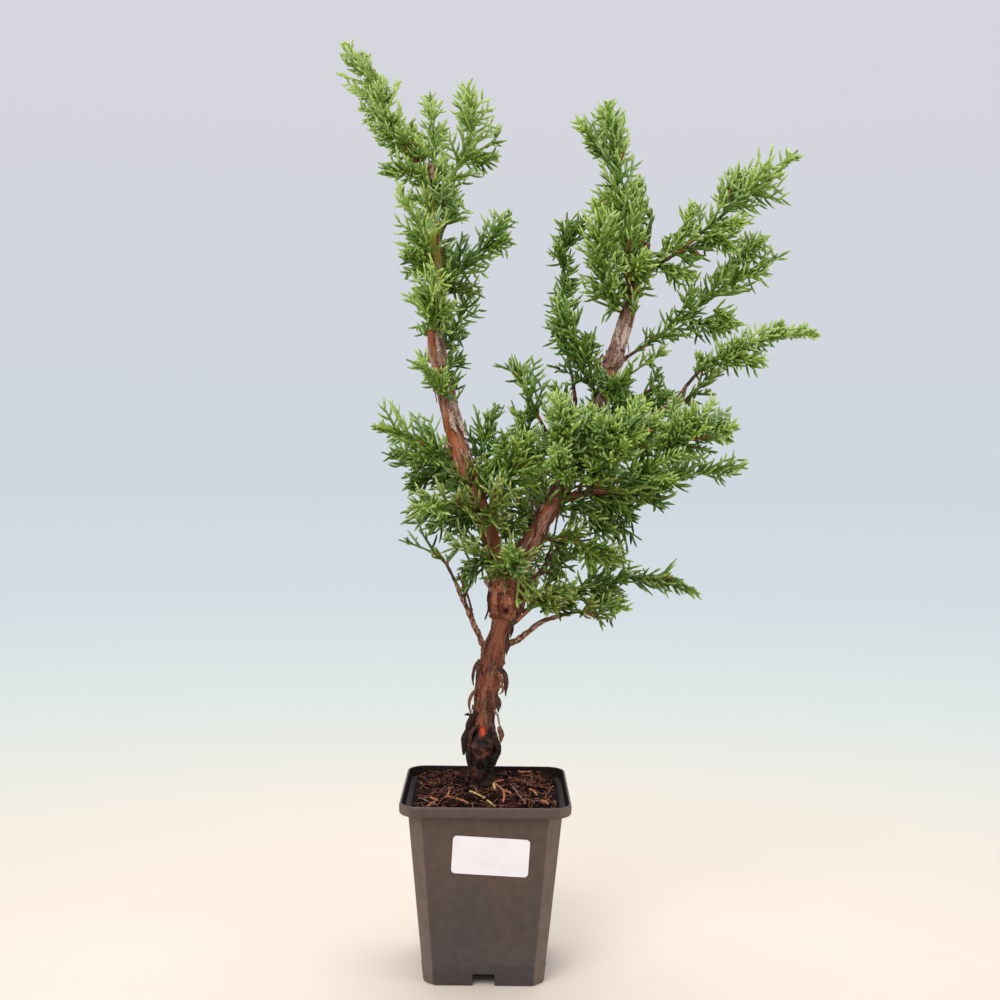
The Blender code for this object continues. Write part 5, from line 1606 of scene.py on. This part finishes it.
def add_flap(shape, rng, path, outward, width, slot):
    """A thin curling strip with ragged edges along the path, its face turned outward."""
    count = len(path)
    centres = np.array([p.xyz for p in path])
    runs = unit(np.gradient(centres, axis=0))
    face = unit(outward - runs * (outward * runs).sum(axis=1, keepdims=True))
    side = np.cross(runs, face)
    share = np.linspace(0, 1, count)
    wide = width * (0.65 + 0.4 * np.sin(math.pi * np.clip(share * 0.9, 0, 1)))
    wide *= np.minimum(1, (1.04 - share) * 2.2)
    left, right = (wide * np.interp(share, np.linspace(0, 1, 5), rng.uniform(0.6, 1.2, 5)) for _ in range(2))
    twist = rng.uniform(0.12, 0.34) * width
    columns = []
    for thick, steps in ((FLAP_THICKNESS, FLAP_COLUMNS), (-FLAP_THICKNESS, FLAP_COLUMNS[::-1])):
        for step in steps:
            reach = np.where(step < 0, left, right) * step
            drop = twist * (1 - 4 * step * step) + thick + 0.1 * rng.normal(size=count) * (thick > 0)
            columns.append(centres + side * reach[:, None] + face * np.asarray(drop)[:, None])
    points = np.stack(columns, axis=1).reshape(-1, 3)
    triangles, _ = ring_triangles(count, len(columns), True, False)
    shape.add(points, triangles, slot)


def add_loose_strips(shape, rng, name, path, count, choices):
    """Small loose strips all round a limb, clear of the wound. They are black on the wet foot."""
    tints = list(FLAP_TINTS)
    frames = stem_frames([p.xyz for p in path])
    for _ in range(count):
        k = int(rng.uniform(*LOOSE_SPAN) * len(path))
        place, (run, across) = path[k], frames[k]
        out = around(run, across, rng.uniform(0, math.tau))
        length = rng.uniform(*LOOSE_LENGTHS)
        way = -run if rng.random() < HANGING_SHARE else run
        seat = place.xyz + out * (place.w - 0.1)
        if seen_spot(np.array([seat[:]]), *WOUND)[0] < WOUND_CLEARANCE and out.y < 0.3:
            continue
        lift = rng.uniform(*LOOSE_LIFTS)
        end = seat + way * length + out * lift
        middle = seat + way * length * 0.55 + out * (0.4 + 0.2 * lift)
        tint = "black" if name == "trunk" and seat.z < WET_TOP else choices[rng.integers(len(choices))]
        strip = smooth_path([seat, middle, end], 9)
        add_flap(shape, rng, strip, np.array(out), rng.uniform(*LOOSE_WIDTHS), tints.index(tint))


def make_flaps(fine):
    """The strips that the photo shows, and small loose ones all round the trunk and stems."""
    shape = Shape()
    tints = list(FLAP_TINTS)
    rng = np.random.default_rng(FLAP_SEED)
    seats = fine["trunk"] + fine["left_stem"] + fine["right_stem"]
    for places, width, tint in FLAPS:
        path = smooth_path([spot(*p) for p in places], 15)
        centre = np.array(nearest_on(seats, path[0]).xyz)
        outward = unit(np.array(path[0]) - centre + np.array([0, -3.0, 0]))
        add_flap(shape, rng, path, outward, width, tints.index(tint))
    for name, (count, choices) in LOOSE_STRIPS.items():
        add_loose_strips(shape, rng, name, fine[name], count, choices)
    made = shape.make("bark_strips", [twig_material("flap_" + tint, *FLAP_TINTS[tint]) for tint in tints])
    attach(made, "root")


# Short broken stubs: (across, up, back) of seat and end, and the radius at each.
STUBS = [
    ((-38, 521, 10), (-41.5, 531, 6), 2.6, 2.1), ((-50, 540, 8), (-52.5, 545, 4), 1.4, 1.0),
    ((98, 470, 10), (101, 482, 9), 3.6, 3.1), ((3.6, 250, -5), (-2.4, 258, -8), 1.8, 1.2),
    ((-38, 470, 6), (-44.5, 473, 0), 1.6, 1.2), ((74.5, 399, -2), (68, 405, -6), 2.2, 1.6),
    ((-26, 347, -6), (-30, 345, -10), 1.8, 1.2),
]


def make_stubs(material):
    """The broken stubs, with the bark's looks."""
    shape, tone = Shape(), []
    for number, (seat, end, wide, narrow) in enumerate(STUBS):
        path = smooth_path([spot(*seat), spot(*seat).lerp(spot(*end), 0.6), spot(*end)], 12)
        radii = np.linspace(wide, narrow, len(path))
        radii[-1] *= 0.6
        points, triangles, _ = path_tube(path, radii, BOUGH_SIDES)
        bumps = noise_at(points / np.array([1.2, 1.2, 4.0]) + number * 7)
        centres = np.repeat(np.array([p.xyz for p in path]), BOUGH_SIDES, axis=0)
        points += unit(points - centres) * (0.35 * bumps)[:, None]
        shape.add(points, triangles, 0)
        tone.append(bumps)
    made = shape.make("stubs", [material])
    bumps = np.concatenate(tone)
    even = np.ones(len(bumps))
    set_facts(made.data, dict(old=even, grey=0.7 * even, tone=0.5 + bumps))
    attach(made, "root")


# Pot, label and compost

RING_STEPS = 12
FILLET = 1.6
# The rim's round profile, outside then inside: how far in from RIM_HALF, and above the skirt's foot.
RIM_PROFILE = [
    (1.9, -0.1), (1.3, 0.02), (0.6, 0.35), (0.15, 1.0), (0.0, 2.2), (0.0, 5.4), (0.12, 6.2), (0.42, 6.72),
    (0.85, 6.95), (1.25, 6.97), (1.6, 6.75), (1.85, 6.3),
]
# The rim's inner side, in the same way.
INNER_PROFILE = [(2.1, 5.2), (2.9, 1.5), (3.1, 0.9)]
RIM_CORNER_SHARE = 0.8
# The rings of the foot and of the body, as (height, how much wider they are), and those of the
# shoulder, whose heights are measured down from the rim's skirt.
FOOT_RINGS = [(0.0, -0.8), (0.25, -0.2), (1.0, 0.05)]
BODY_RINGS = [(12.4, 0.12), (13.0, -0.12), (40, 0), (70, 0), (95, 0)]
SHOULDER_RINGS = [(2.5, 0), (0.5, 0.3)]
INNER_CHAMFER_LESS = 0.5
POCKET_PAST = 2
SHARP_EDGE = math.radians(38)

# The pot's colours: clean and dusty plastic, its foot below the step, light specks, the cut corners lighter by
# wear and by painted light, painted shade on the level tops in the gap, a painted highlight with wear on the
# rim's top, and painted shade inside.
CLEAN = (0.052, 0.040, 0.037)
DUSTY = (0.080, 0.047, 0.034)
FOOT_COLOUR = (0.044, 0.034, 0.031)
SPECK_COLOUR = (0.12, 0.09, 0.075)
RUBBED_AND_LIT_COLOUR = (0.142, 0.096, 0.072)
LEDGE_SHADE_COLOUR = (0.010, 0.007, 0.006)
RIM_WEAR_AND_HIGHLIGHT_COLOUR = (0.13, 0.098, 0.085)
INSIDE_SHADE_COLOUR = (0.014, 0.009, 0.007)
DUST_GAIN = 1.35
DUST_HEIGHTS = (0.055, 0.118)
FOOT_HEIGHTS = (0.014, 0.0125)
RIM_HEIGHTS = ((POT_HEIGHT - 1.0) * MM, (POT_HEIGHT - 0.6) * MM)
INSIDE_FACING = (-0.008, -0.03)


def arc_corner(half, corner):
    """A rounded corner of a square, as (x, y) places."""
    turns = (k / (RING_STEPS - 1) * math.pi / 2 for k in range(RING_STEPS))
    return [(half - corner + corner * math.cos(a), half - corner + corner * math.sin(a)) for a in turns]


def cut_corner(half, corner):
    """A corner cut straight, with a small fillet at each end of the cut, as (x, y) places."""
    slant = FILLET * math.sqrt(0.5)
    near, far = half - corner, half - slant
    ends = (((half, near - FILLET), (half, near), (far, near + slant)),
            ((near + slant, far), (near, half), (near - FILLET, half)))
    places = []
    for a, b, c in ends:
        for k in range(RING_STEPS // 2):
            t = k / (RING_STEPS // 2 - 1)
            places.append([(1 - t)**2 * a[i] + 2 * t * (1 - t) * b[i] + t * t * c[i] for i in (0, 1)])
    return places


def corner_ring(half, corner, height, arc):
    """A square ring at that height. Its corners are arcs, or cut straight with small fillets."""
    ring = []
    for quarter in range(4):
        turn = Matrix.Rotation(quarter * math.pi / 2, 3, "Z")
        for x, y in arc_corner(half, corner) if arc else cut_corner(half, corner):
            point = turn @ Vector((x, y, 0))
            ring.append((point.x, point.y, height))
    return ring


def body_half(height):
    """Half the width of the pot's tapered body at that height."""
    return FOOT_HALF + (BODY_TOP_HALF - FOOT_HALF) * height / (POT_HEIGHT - RIM_SKIRT)


def body_chamfer(height):
    """The size of the body's cut corners at that height."""
    return FOOT_CHAMFER + (BODY_TOP_CHAMFER - FOOT_CHAMFER) * height / (POT_HEIGHT - RIM_SKIRT)


def loft_object(name, rings, material):
    """A closed object through the rings."""
    points = np.array([p for ring in rings for p in ring])
    triangles, _ = ring_triangles(len(rings), len(rings[0]), True, False)
    return mesh_object(name, points, triangles, [material])


def pocket_box(quarter, material):
    """A drain pocket in the middle of one side, as a box that runs out through the wall and the foot."""
    made = bmesh.new()
    bmesh.ops.create_cube(made, size=1.0)
    turn = Matrix.Rotation(quarter * math.pi / 2, 3, "Z")
    for vert in made.verts:
        vert.co = turn @ Vector((
            vert.co.x * POCKET_WIDTH,
            (0.5 + vert.co.y) * (POCKET_DEPTH + POCKET_PAST) - FOOT_HALF - POCKET_PAST,
            (0.5 + vert.co.z) * (POCKET_HEIGHT + POCKET_PAST) - POCKET_PAST,
        )) * MM
    mesh = bpy.data.meshes.new("pocket")
    made.to_mesh(mesh)
    made.free()
    mesh.materials.append(material)
    return new_object("pocket", mesh)


def cut(obj, tool):
    """Cuts tool out of obj for good."""
    change = obj.modifiers.new("cut", "BOOLEAN")
    change.operation = "DIFFERENCE"
    change.object = tool
    whole = finished_mesh(obj)
    obj.modifiers.clear()
    obj.data = whole


def between(tree, value, low, high):
    """From 0 where the value is at low to 1 where it is at high."""
    return node(tree, "ShaderNodeMapRange", value, From_Min=low, From_Max=high).outputs["Result"]


def math_node(tree, operation, *values):
    """The result of one operation on sockets or plain numbers."""
    return node(tree, "ShaderNodeMath", *values, operation=operation).outputs[0]


def inside_share(tree, place, normal):
    """How much the surface faces the pot's middle line, by which the inside is known."""
    flat = node(tree, "ShaderNodeVectorMath", place, (1.0, 1.0, 0.0), operation="MULTIPLY").outputs["Vector"]
    facing = node(tree, "ShaderNodeVectorMath", flat, normal, operation="DOT_PRODUCT").outputs["Value"]
    return between(tree, facing, *INSIDE_FACING)


def outer_colour(tree, height, dusty, specks):
    """The colour of the pot's sides: dusty above, darker below the step, with light specks."""
    dust = ramp(tree, dusty, [(0.62, 0.0), (1.1, 0.9)])
    colour = mix_colour(tree, dust, CLEAN, DUSTY)
    colour = mix_colour(tree, between(tree, height, *FOOT_HEIGHTS), colour, FOOT_COLOUR)
    return mix_colour(tree, ramp(tree, specks, [(0.64, 0.0), (0.74, 0.35)]), colour, SPECK_COLOUR)


def wear_and_painted_light(tree, colour, normal, height):
    """The colour made lighter on the cut corners by wear and painted light, and mottled; on level tops, painted
    shade below the rim and a painted highlight with wear on the rim's top.
    """
    way = node(tree, "ShaderNodeSeparateXYZ", normal).outputs
    corner = math_node(tree, "ABSOLUTE", math_node(tree, "MULTIPLY", way["X"], way["Y"]))
    # Wear and painted light: the cut corners, picked out by their normals, are painted lighter as if lit.
    colour = mix_colour(tree, ramp(tree, corner, [(0.3, 0.0), (0.46, 0.85)]), colour, RUBBED_AND_LIT_COLOUR)
    mottled = ramp(tree, noise_node(tree, 0.16, 5.0), [(0.34, 0.84), (0.66, 1.12)])
    colour = mix_colour(tree, 1.0, colour, mottled, "MULTIPLY")
    # Painted shade on level tops below the rim's top, and a painted highlight with some wear on the rim's top.
    level_top_shade_and_highlight = mix_colour(tree, between(tree, height, *RIM_HEIGHTS), LEDGE_SHADE_COLOUR, RIM_WEAR_AND_HIGHLIGHT_COLOUR)
    return mix_colour(tree, ramp(tree, way["Z"], [(0.6, 0.0), (0.95, 1.0)]), colour, level_top_shade_and_highlight)


def pot_material():
    """Brown-black moulded plastic: dusty above, with wear and painted light on its corners, painted shade on
    its ledges and inside, and a painted highlight with wear on its rim.
    """
    made, tree, shader = new_material("pot_plastic")
    place = node(tree, "ShaderNodeTexCoord").outputs["Object"]
    normal = node(tree, "ShaderNodeNewGeometry").outputs["Normal"]
    height = node(tree, "ShaderNodeSeparateXYZ", place).outputs["Z"]
    clouds = noise_node(tree, 0.028, 5.0, (1, 1, 0.45))
    specks = noise_node(tree, 0.55, 5.0)
    dusty = math_node(tree, "MULTIPLY_ADD", clouds, DUST_GAIN, between(tree, height, *DUST_HEIGHTS))
    inside = inside_share(tree, place, normal)
    colour = wear_and_painted_light(tree, outer_colour(tree, height, dusty, specks), normal, height)
    # Painted shade on the inside of the pot.
    colour = mix_colour(tree, inside, colour, INSIDE_SHADE_COLOUR)
    shine = ramp(tree, inside, [(0.0, 0.5), (1.0, 0.04)])
    dress(tree, shader, colour, ramp(tree, dusty, [(0.4, 0.40), (1.1, 0.60)]), shine)
    bump(tree, shader, specks, 0.25, 0.12)
    return made


def pot_rings():
    """The pot's rings: up its outside, over the rim, and down its inside to the floor."""
    skirt = POT_HEIGHT - RIM_SKIRT
    rings = [corner_ring(FOOT_HALF + more, FOOT_CHAMFER, height, False) for height, more in FOOT_RINGS]
    for height, more in BODY_RINGS + [(skirt - below, more) for below, more in SHOULDER_RINGS]:
        rings.append(corner_ring(body_half(height) + more, body_chamfer(height), height, False))
    for inset, above in RIM_PROFILE + INNER_PROFILE:
        corner = RIM_CORNER - inset * RIM_CORNER_SHARE
        rings.append(corner_ring(RIM_HALF - inset, corner, skirt + above, True))
    for height, less in ((skirt - 0.8, 0.0), (60.0, 0.0), (FLOOR + 0.6, 0.0), (FLOOR, 0.6)):
        chamfer = body_chamfer(height) - INNER_CHAMFER_LESS
        rings.append(corner_ring(body_half(height) - WALL - less, chamfer, height, False))
    return rings


def make_pot():
    """The pot: a tapered shell with cut corners, a rolled rim and a drain pocket in each side."""
    material = pot_material()
    pot = loft_object("nursery_pot", pot_rings(), material)
    for quarter in range(4):
        box = pocket_box(quarter, material)
        cut(pot, box)
        bpy.data.objects.remove(box)
    pot.data.set_sharp_from_angle(angle=SHARP_EDGE)
    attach(pot, "root")
    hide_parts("pot")


PAPER = [(0.3, (0.80, 0.755, 0.775)), (0.7, (0.86, 0.82, 0.835))]


def dress_label():
    """The label stays bare: plain coated paper, a little uneven."""
    made, tree, shader = new_material("label_paper")
    fibres = noise_node(tree, 2.2, 5.0)
    colour = ramp(tree, noise_node(tree, 0.09, 3.0), PAPER)
    dress(tree, shader, colour, ramp(tree, fibres, [(0.3, 0.42), (0.7, 0.55)]))
    bump(tree, shader, fibres, 0.15, 0.05)
    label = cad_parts["label"]
    label.data.materials.clear()
    label.data.materials.append(made)


SOIL_TINTS = [
    ("soil_black", (0.016, 0.007, 0.005), (0.004, 0.002, 0.0015)),
    ("soil_brown", (0.038, 0.015, 0.010), (0.010, 0.004, 0.003)),
    ("soil_rust", (0.130, 0.046, 0.030), (0.040, 0.014, 0.009)),
    ("root_red", (0.340, 0.140, 0.085), (0.130, 0.048, 0.028)),
    ("chip_orange", (0.500, 0.225, 0.115), (0.290, 0.100, 0.045)),
    ("straw_yellow", (0.700, 0.600, 0.230), (0.480, 0.360, 0.110)),
    ("twig_grey", (0.330, 0.220, 0.180), (0.120, 0.072, 0.056)),
]
# Chips, straws and roots that lie on the compost: (x, y) places, radius, and tint.
LITTER = [
    ([(-10.6, -11.7), (-2.9, -18.9), (6.5, -36)], 0.62, "straw_yellow"),
    ([(3.9, 10), (6.0, -6.5)], 1.0, "straw_yellow"),
    ([(4.9, 12.7), (11.8, -12), (11.3, -34)], 0.95, "chip_orange"),
    ([(11.4, -8), (16.9, -20.1)], 0.9, "chip_orange"),
    ([(5.7, 11.2), (12.4, 19)], 0.85, "chip_orange"),
    ([(-24.2, 0.8), (-25.6, -18.9), (-38, -33)], 0.7, "chip_orange"),
    ([(-25.6, -18.9), (-17.8, -24.4), (-10.5, -35)], 0.8, "chip_orange"),
    ([(-36.1, -21), (-30.5, -29)], 0.85, "chip_orange"),
    ([(22.5, 46), (26, 44), (32, 47)], 0.95, "chip_orange"),
    ([(16.8, 8.6), (20.8, -10.7), (26.5, -34)], 0.6, "twig_grey"),
    ([(-11.8, 29.8), (-9.4, 16.0), (-6.2, -8)], 0.55, "twig_grey"),
    ([(28.5, 0), (34, -9)], 0.9, "chip_orange"),
    ([(35, -20), (41, -29)], 0.95, "chip_orange"),
    ([(46, -12), (44, -36)], 0.6, "root_red"),
    ([(39, -12), (46, 18)], 0.45, "root_red"),
    ([(33, -16), (40, -20), (45.5, 6)], 0.45, "root_red"),
    ([(-44, -12), (-38, -24), (-31, -34)], 0.5, "twig_grey"),
    ([(22, -28), (29, -22), (33, -33)], 0.55, "root_red"),
    ([(-8, 2), (-16, -2), (-20, 3)], 0.55, "root_red"),
    ([(14, 26), (22, 24), (30, 12), (34, 10)], 0.5, "root_red"),
]
CRUMBS = 2600
ROOTS = 500
FUZZ = 150
SOIL_SEED = 11
SOIL_SHINE = 0.06
BED_RINGS = 60
BED_DEPTH = 8.0
# The trunk's foot and how clear of it the crumbs and roots keep, and how clear of the pot's wall and of
# its cut corners they keep.
TRUNK_FOOT = (-3, 9)
CRUMB_CLEARANCE = 8
ROOT_CLEARANCE = 9.5
WALL_CLEARANCE = 3.0
CRUMB_CORNER = 8
ROOT_CORNER = 6
CRUMB_SHARES = (0.66, 0.28, 0.06)
FINE_CRUMBS = 0.85
FINE_SIZES = (0.4, 1.2)
COARSE_SIZES = (1.2, 2.8)
ROOT_STEP = 3.6
ROOT_RADII = (0.12, 0.32)
ROOT_TINTS = {"root_red": 0.4, "soil_rust": 0.3, "soil_brown": 0.2, "twig_grey": 0.1}
FUZZ_LENGTHS = (1.5, 4.5)
FUZZ_RADII = (0.22, 0.1)
FUZZ_TINTS = {"root_red": 0.4, "soil_rust": 0.4, "twig_grey": 0.2}
SOIL_NAMES = [name for name, _, _ in SOIL_TINTS]


def soil_height(x, y):
    """The compost's mounded surface, lumpy and a little higher at the back."""
    half = max(abs(x), abs(y))
    edge = SOIL_EDGE - 0.4 + 4.6 * min(1.0, max(0.0, y / 32.0))
    mound = edge + (GROUND - edge) * (1 - (half / body_half(SOIL_EDGE)) ** 2)
    lumps = noise.fractal((x / 8.0, y / 8.0, 3.1), 0.8, 2.0, 4)
    grit = noise.fractal((x / 2.2, y / 2.2, 7.7), 0.8, 2.0, 3)
    return mound + 1.6 * lumps + 0.5 * grit


def make_soil_bed(shape):
    """The bed that the crumbs lie on, as rings from the pot's wall inwards."""
    edge = corner_ring(body_half(SOIL_EDGE) - WALL - GAP, body_chamfer(SOIL_EDGE), SOIL_EDGE, False)
    points = [(x, y, SOIL_EDGE - BED_DEPTH) for x, y, _ in edge]
    for ring in range(BED_RINGS):
        share = 1 - ring / BED_RINGS
        points += [(x * share, y * share, soil_height(x * share, y * share)) for x, y, _ in edge]
    triangles, _ = ring_triangles(BED_RINGS + 1, len(edge), True, False)
    shape.add(np.array(points), triangles, 0)


def off_the_soil(x, y, reach, clearance, corner):
    """Whether the place is too near to the trunk's foot or in one of the pot's cut corners."""
    near = math.hypot(x - TRUNK_FOOT[0], y - TRUNK_FOOT[1]) < clearance
    return near or abs(x) + abs(y) > 2 * reach - corner


def make_crumbs(shape, rng):
    """Crumbs of compost, each a squashed and dented ball."""
    ball = bmesh.new()
    bmesh.ops.create_icosphere(ball, subdivisions=1, radius=1.0)
    corners = np.array([v.co[:] for v in ball.verts])
    triangles = np.array([[v.index for v in f.verts] for f in ball.faces])
    ball.free()
    reach = body_half(SOIL_EDGE) - WALL_CLEARANCE
    for _ in range(CRUMBS):
        x, y = rng.uniform(-reach, reach, 2)
        if off_the_soil(x, y, reach, CRUMB_CLEARANCE, CRUMB_CORNER):
            continue
        size = rng.uniform(*(FINE_SIZES if rng.random() < FINE_CRUMBS else COARSE_SIZES))
        turn = np.linalg.qr(rng.normal(size=(3, 3)))[0]
        dents = corners * rng.uniform(0.65, 1.2, (len(corners), 1)) * rng.uniform(0.6, 1.2, 3)
        place = np.array([x, y, soil_height(x, y) + size * 0.25])
        shape.add(dents @ turn * size + place, triangles, rng.choice(len(CRUMB_SHARES), p=CRUMB_SHARES))


def lying_path(rng, places, lift, wander):
    """A run over the compost through the (x, y) places, a little above it."""
    knots = [Vector((x, y, soil_height(x, y) + lift + rng.uniform(0, wander))) for x, y in places]
    if len(knots) == 2:
        knots.insert(1, knots[0].lerp(knots[1], 0.5) + Vector(rng.normal(0, 0.5, 3)))
    steps = max(6, round(path_length(knots) / 2.2))
    path = smooth_path(knots, steps)
    for p in path:
        p += Vector(rng.normal(0, 0.12 + wander * 0.05, 3))
        p.z = max(p.z, soil_height(p.x, p.y) + lift * 0.6)
    return path


def drawn_tint(rng, tints):
    """The slot of one of the tints, drawn by their shares."""
    return SOIL_NAMES.index(rng.choice(list(tints), p=list(tints.values())))


def make_litter(shape, rng):
    """The chips, straws and roots that the photo shows."""
    for places, radius, tint in LITTER:
        path = lying_path(rng, places, radius + 0.7, 0.3)
        radii = radius * rng.uniform(0.75, 1.1, len(path))
        radii[-1] *= 0.5
        points, triangles, _ = path_tube(path, radii, 7)
        shape.add(points, triangles, SOIL_NAMES.index(tint))


def make_roots(shape, rng):
    """Fine roots that wander over the compost."""
    reach = body_half(SOIL_EDGE) - WALL_CLEARANCE
    for _ in range(ROOTS):
        x, y = rng.uniform(-reach, reach, 2)
        heading = rng.uniform(0, math.tau)
        places = [(x, y)]
        for _ in range(rng.integers(2, 6)):
            heading += rng.normal(0, 0.8)
            x += ROOT_STEP * math.cos(heading)
            y += ROOT_STEP * math.sin(heading)
            places.append((float(np.clip(x, -reach, reach)), float(np.clip(y, -reach, reach))))
        if any(off_the_soil(*place, reach, ROOT_CLEARANCE, ROOT_CORNER) for place in places):
            continue
        path = lying_path(rng, places, 0.6, 1.4)
        radius = rng.uniform(*ROOT_RADII)
        slot = drawn_tint(rng, ROOT_TINTS)
        points, triangles, _ = path_tube(path, [radius] * len(path), 4)
        shape.add(points, triangles, slot)


def make_fuzz(shape, rng):
    """Short hairs that stand up from the compost."""
    reach = body_half(SOIL_EDGE) - WALL_CLEARANCE
    for _ in range(FUZZ):
        x, y = rng.uniform(-0.8 * reach, 0.85 * reach), rng.uniform(-0.2 * reach, 0.9 * reach)
        foot = Vector((x, y, soil_height(x, y) - 0.3))
        lean = Vector((rng.normal(0, 0.8), rng.normal(0, 0.8), 1.0)).normalized()
        length = rng.uniform(*FUZZ_LENGTHS)
        bend = Vector(rng.normal(0, 0.25, 3)) * length
        path = smooth_path([foot, foot + lean * length * 0.5 + bend, foot + lean * length], 4)
        slot = drawn_tint(rng, FUZZ_TINTS)
        points, triangles, _ = path_tube(path, np.linspace(*FUZZ_RADII, len(path)), 4)
        shape.add(points, triangles, slot)


def make_compost():
    """The compost's rough surface, with its crumbs, roots and chips."""
    rng = np.random.default_rng(SOIL_SEED)
    shape = Shape()
    make_soil_bed(shape)
    for make in (make_crumbs, make_litter, make_roots, make_fuzz):
        make(shape, rng)
    materials = [twig_material(name, light, dark, SOIL_SHINE) for name, light, dark in SOIL_TINTS]
    made = shape.make("compost_surface", materials)
    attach(made, "root")
    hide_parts("compost")


# Stage

FLOOR_COLOUR = (0.80, 0.705, 0.60)
FLOOR_FADE = [(0.12, 1.0), (0.62, 0.0)]
FLOOR_RADIUS = 700
FLOOR_BELOW = 0.6
FLOOR_SIDES = 64
# The backdrop from below to above: cream, pale blue at eye level, pale grey-lilac.
BACKDROP = [
    (0.07, (0.95, 0.85, 0.75)), (0.21, (0.89, 0.86, 0.78)), (0.284, (0.76, 0.82, 0.79)),
    (0.363, (0.655, 0.735, 0.775)), (0.444, (0.62, 0.69, 0.75)), (0.56, (0.64, 0.67, 0.73)),
    (0.86, (0.68, 0.67, 0.73)),
]
BACKDROP_HEIGHTS = (-0.45, 0.45)
# The lamps: place, what they aim at, size, power and colour, in metres and watts.
LAMPS = {
    "key": ((-0.55, -1.35, 1.55), (0, 0, 0.35), 1.3, 22, (1.0, 0.97, 0.92)),
    "fill": ((1.3, -0.9, 0.7), (0, 0, 0.3), 1.2, 4, (0.95, 0.97, 1.0)),
    "top": ((0.1, 0.5, 1.7), (0, 0, 0.3), 1.2, 12, (1.0, 0.99, 0.97)),
}
CAMERA_YAW = math.radians(0.206)
CAMERA_PITCH = math.radians(2.895)
CAMERA_ROLL = math.radians(0.664)
CAMERA_LENS = 49.27
SENSOR_WIDTH = 36.0


def make_floor():
    """A plain pale floor round the pot that fades into the backdrop further out."""
    made, tree, shader = new_material("floor")
    place = node(tree, "ShaderNodeTexCoord").outputs["Object"]
    far = node(tree, "ShaderNodeVectorMath", place, operation="LENGTH").outputs["Value"]
    dress(tree, shader, FLOOR_COLOUR, 0.85)
    feed(tree, shader.inputs["Alpha"], ramp(tree, far, FLOOR_FADE))
    angles = np.arange(FLOOR_SIDES) * math.tau / FLOOR_SIDES
    points = np.column_stack([
        FLOOR_RADIUS * np.cos(angles), FLOOR_RADIUS * np.sin(angles), np.full(FLOOR_SIDES, -FLOOR_BELOW)])
    triangles = [(0, k, k + 1) for k in range(1, FLOOR_SIDES - 1)]
    mesh_object("floor", points, triangles, [made])


def make_world():
    """A soft studio backdrop all round."""
    world = bpy.data.worlds.new("studio")
    world.use_nodes = True
    bpy.context.scene.world = world
    tree = world.node_tree
    way = node(tree, "ShaderNodeTexCoord").outputs["Generated"]
    height = node(tree, "ShaderNodeSeparateXYZ", way).outputs["Z"]
    sky = ramp(tree, between(tree, height, *BACKDROP_HEIGHTS), BACKDROP)
    background = tree.nodes["Background"]
    feed(tree, background.inputs["Color"], sky)
    background.inputs["Strength"].default_value = 1.0


def add_light(name, place, aim, size, power, colour):
    """A round soft lamp."""
    lamp = bpy.data.lights.new(name, "AREA")
    lamp.shape = "DISK"
    lamp.size = size
    lamp.energy = power
    lamp.color = colour
    made = new_object(name, lamp)
    made.location = place
    made.rotation_euler = (Vector(aim) - Vector(place)).to_track_quat("-Z", "Y").to_euler()


def make_camera():
    """The photo's camera: its place, and how it is turned, pitched and rolled."""
    ahead = Vector((math.sin(CAMERA_YAW), math.cos(CAMERA_YAW), 0))
    right = Vector((math.cos(CAMERA_YAW), -math.sin(CAMERA_YAW), 0))
    view = ahead * math.cos(CAMERA_PITCH) - Vector((0, 0, math.sin(CAMERA_PITCH)))
    upward = right.cross(view)
    side = right * math.cos(CAMERA_ROLL) + upward * math.sin(CAMERA_ROLL)
    camera = bpy.data.cameras.new("camera")
    camera.lens = CAMERA_LENS
    camera.sensor_width = SENSOR_WIDTH
    made = new_object("camera", camera)
    turned = Matrix((side, side.cross(view), -view)).transposed().to_4x4()
    made.matrix_world = Matrix.Translation(EYE * MM) @ turned
    bpy.context.scene.camera = made


def main():
    """The stage first, then the plant from its limbs to its foliage, then the pot and what is in it."""
    bpy.context.scene.view_settings.view_transform = "Standard"
    make_camera()
    make_world()
    make_floor()
    for name, lamp in LAMPS.items():
        add_light(name, *lamp)
    coarse, fine = limb_paths()
    bark = bark_material()
    make_bark(fine, bark)
    make_boughs(fine, bark)
    make_stubs(bark)
    make_flaps(fine)
    make_foliage(coarse, fine)
    make_pot()
    dress_label()
    make_compost()


main()
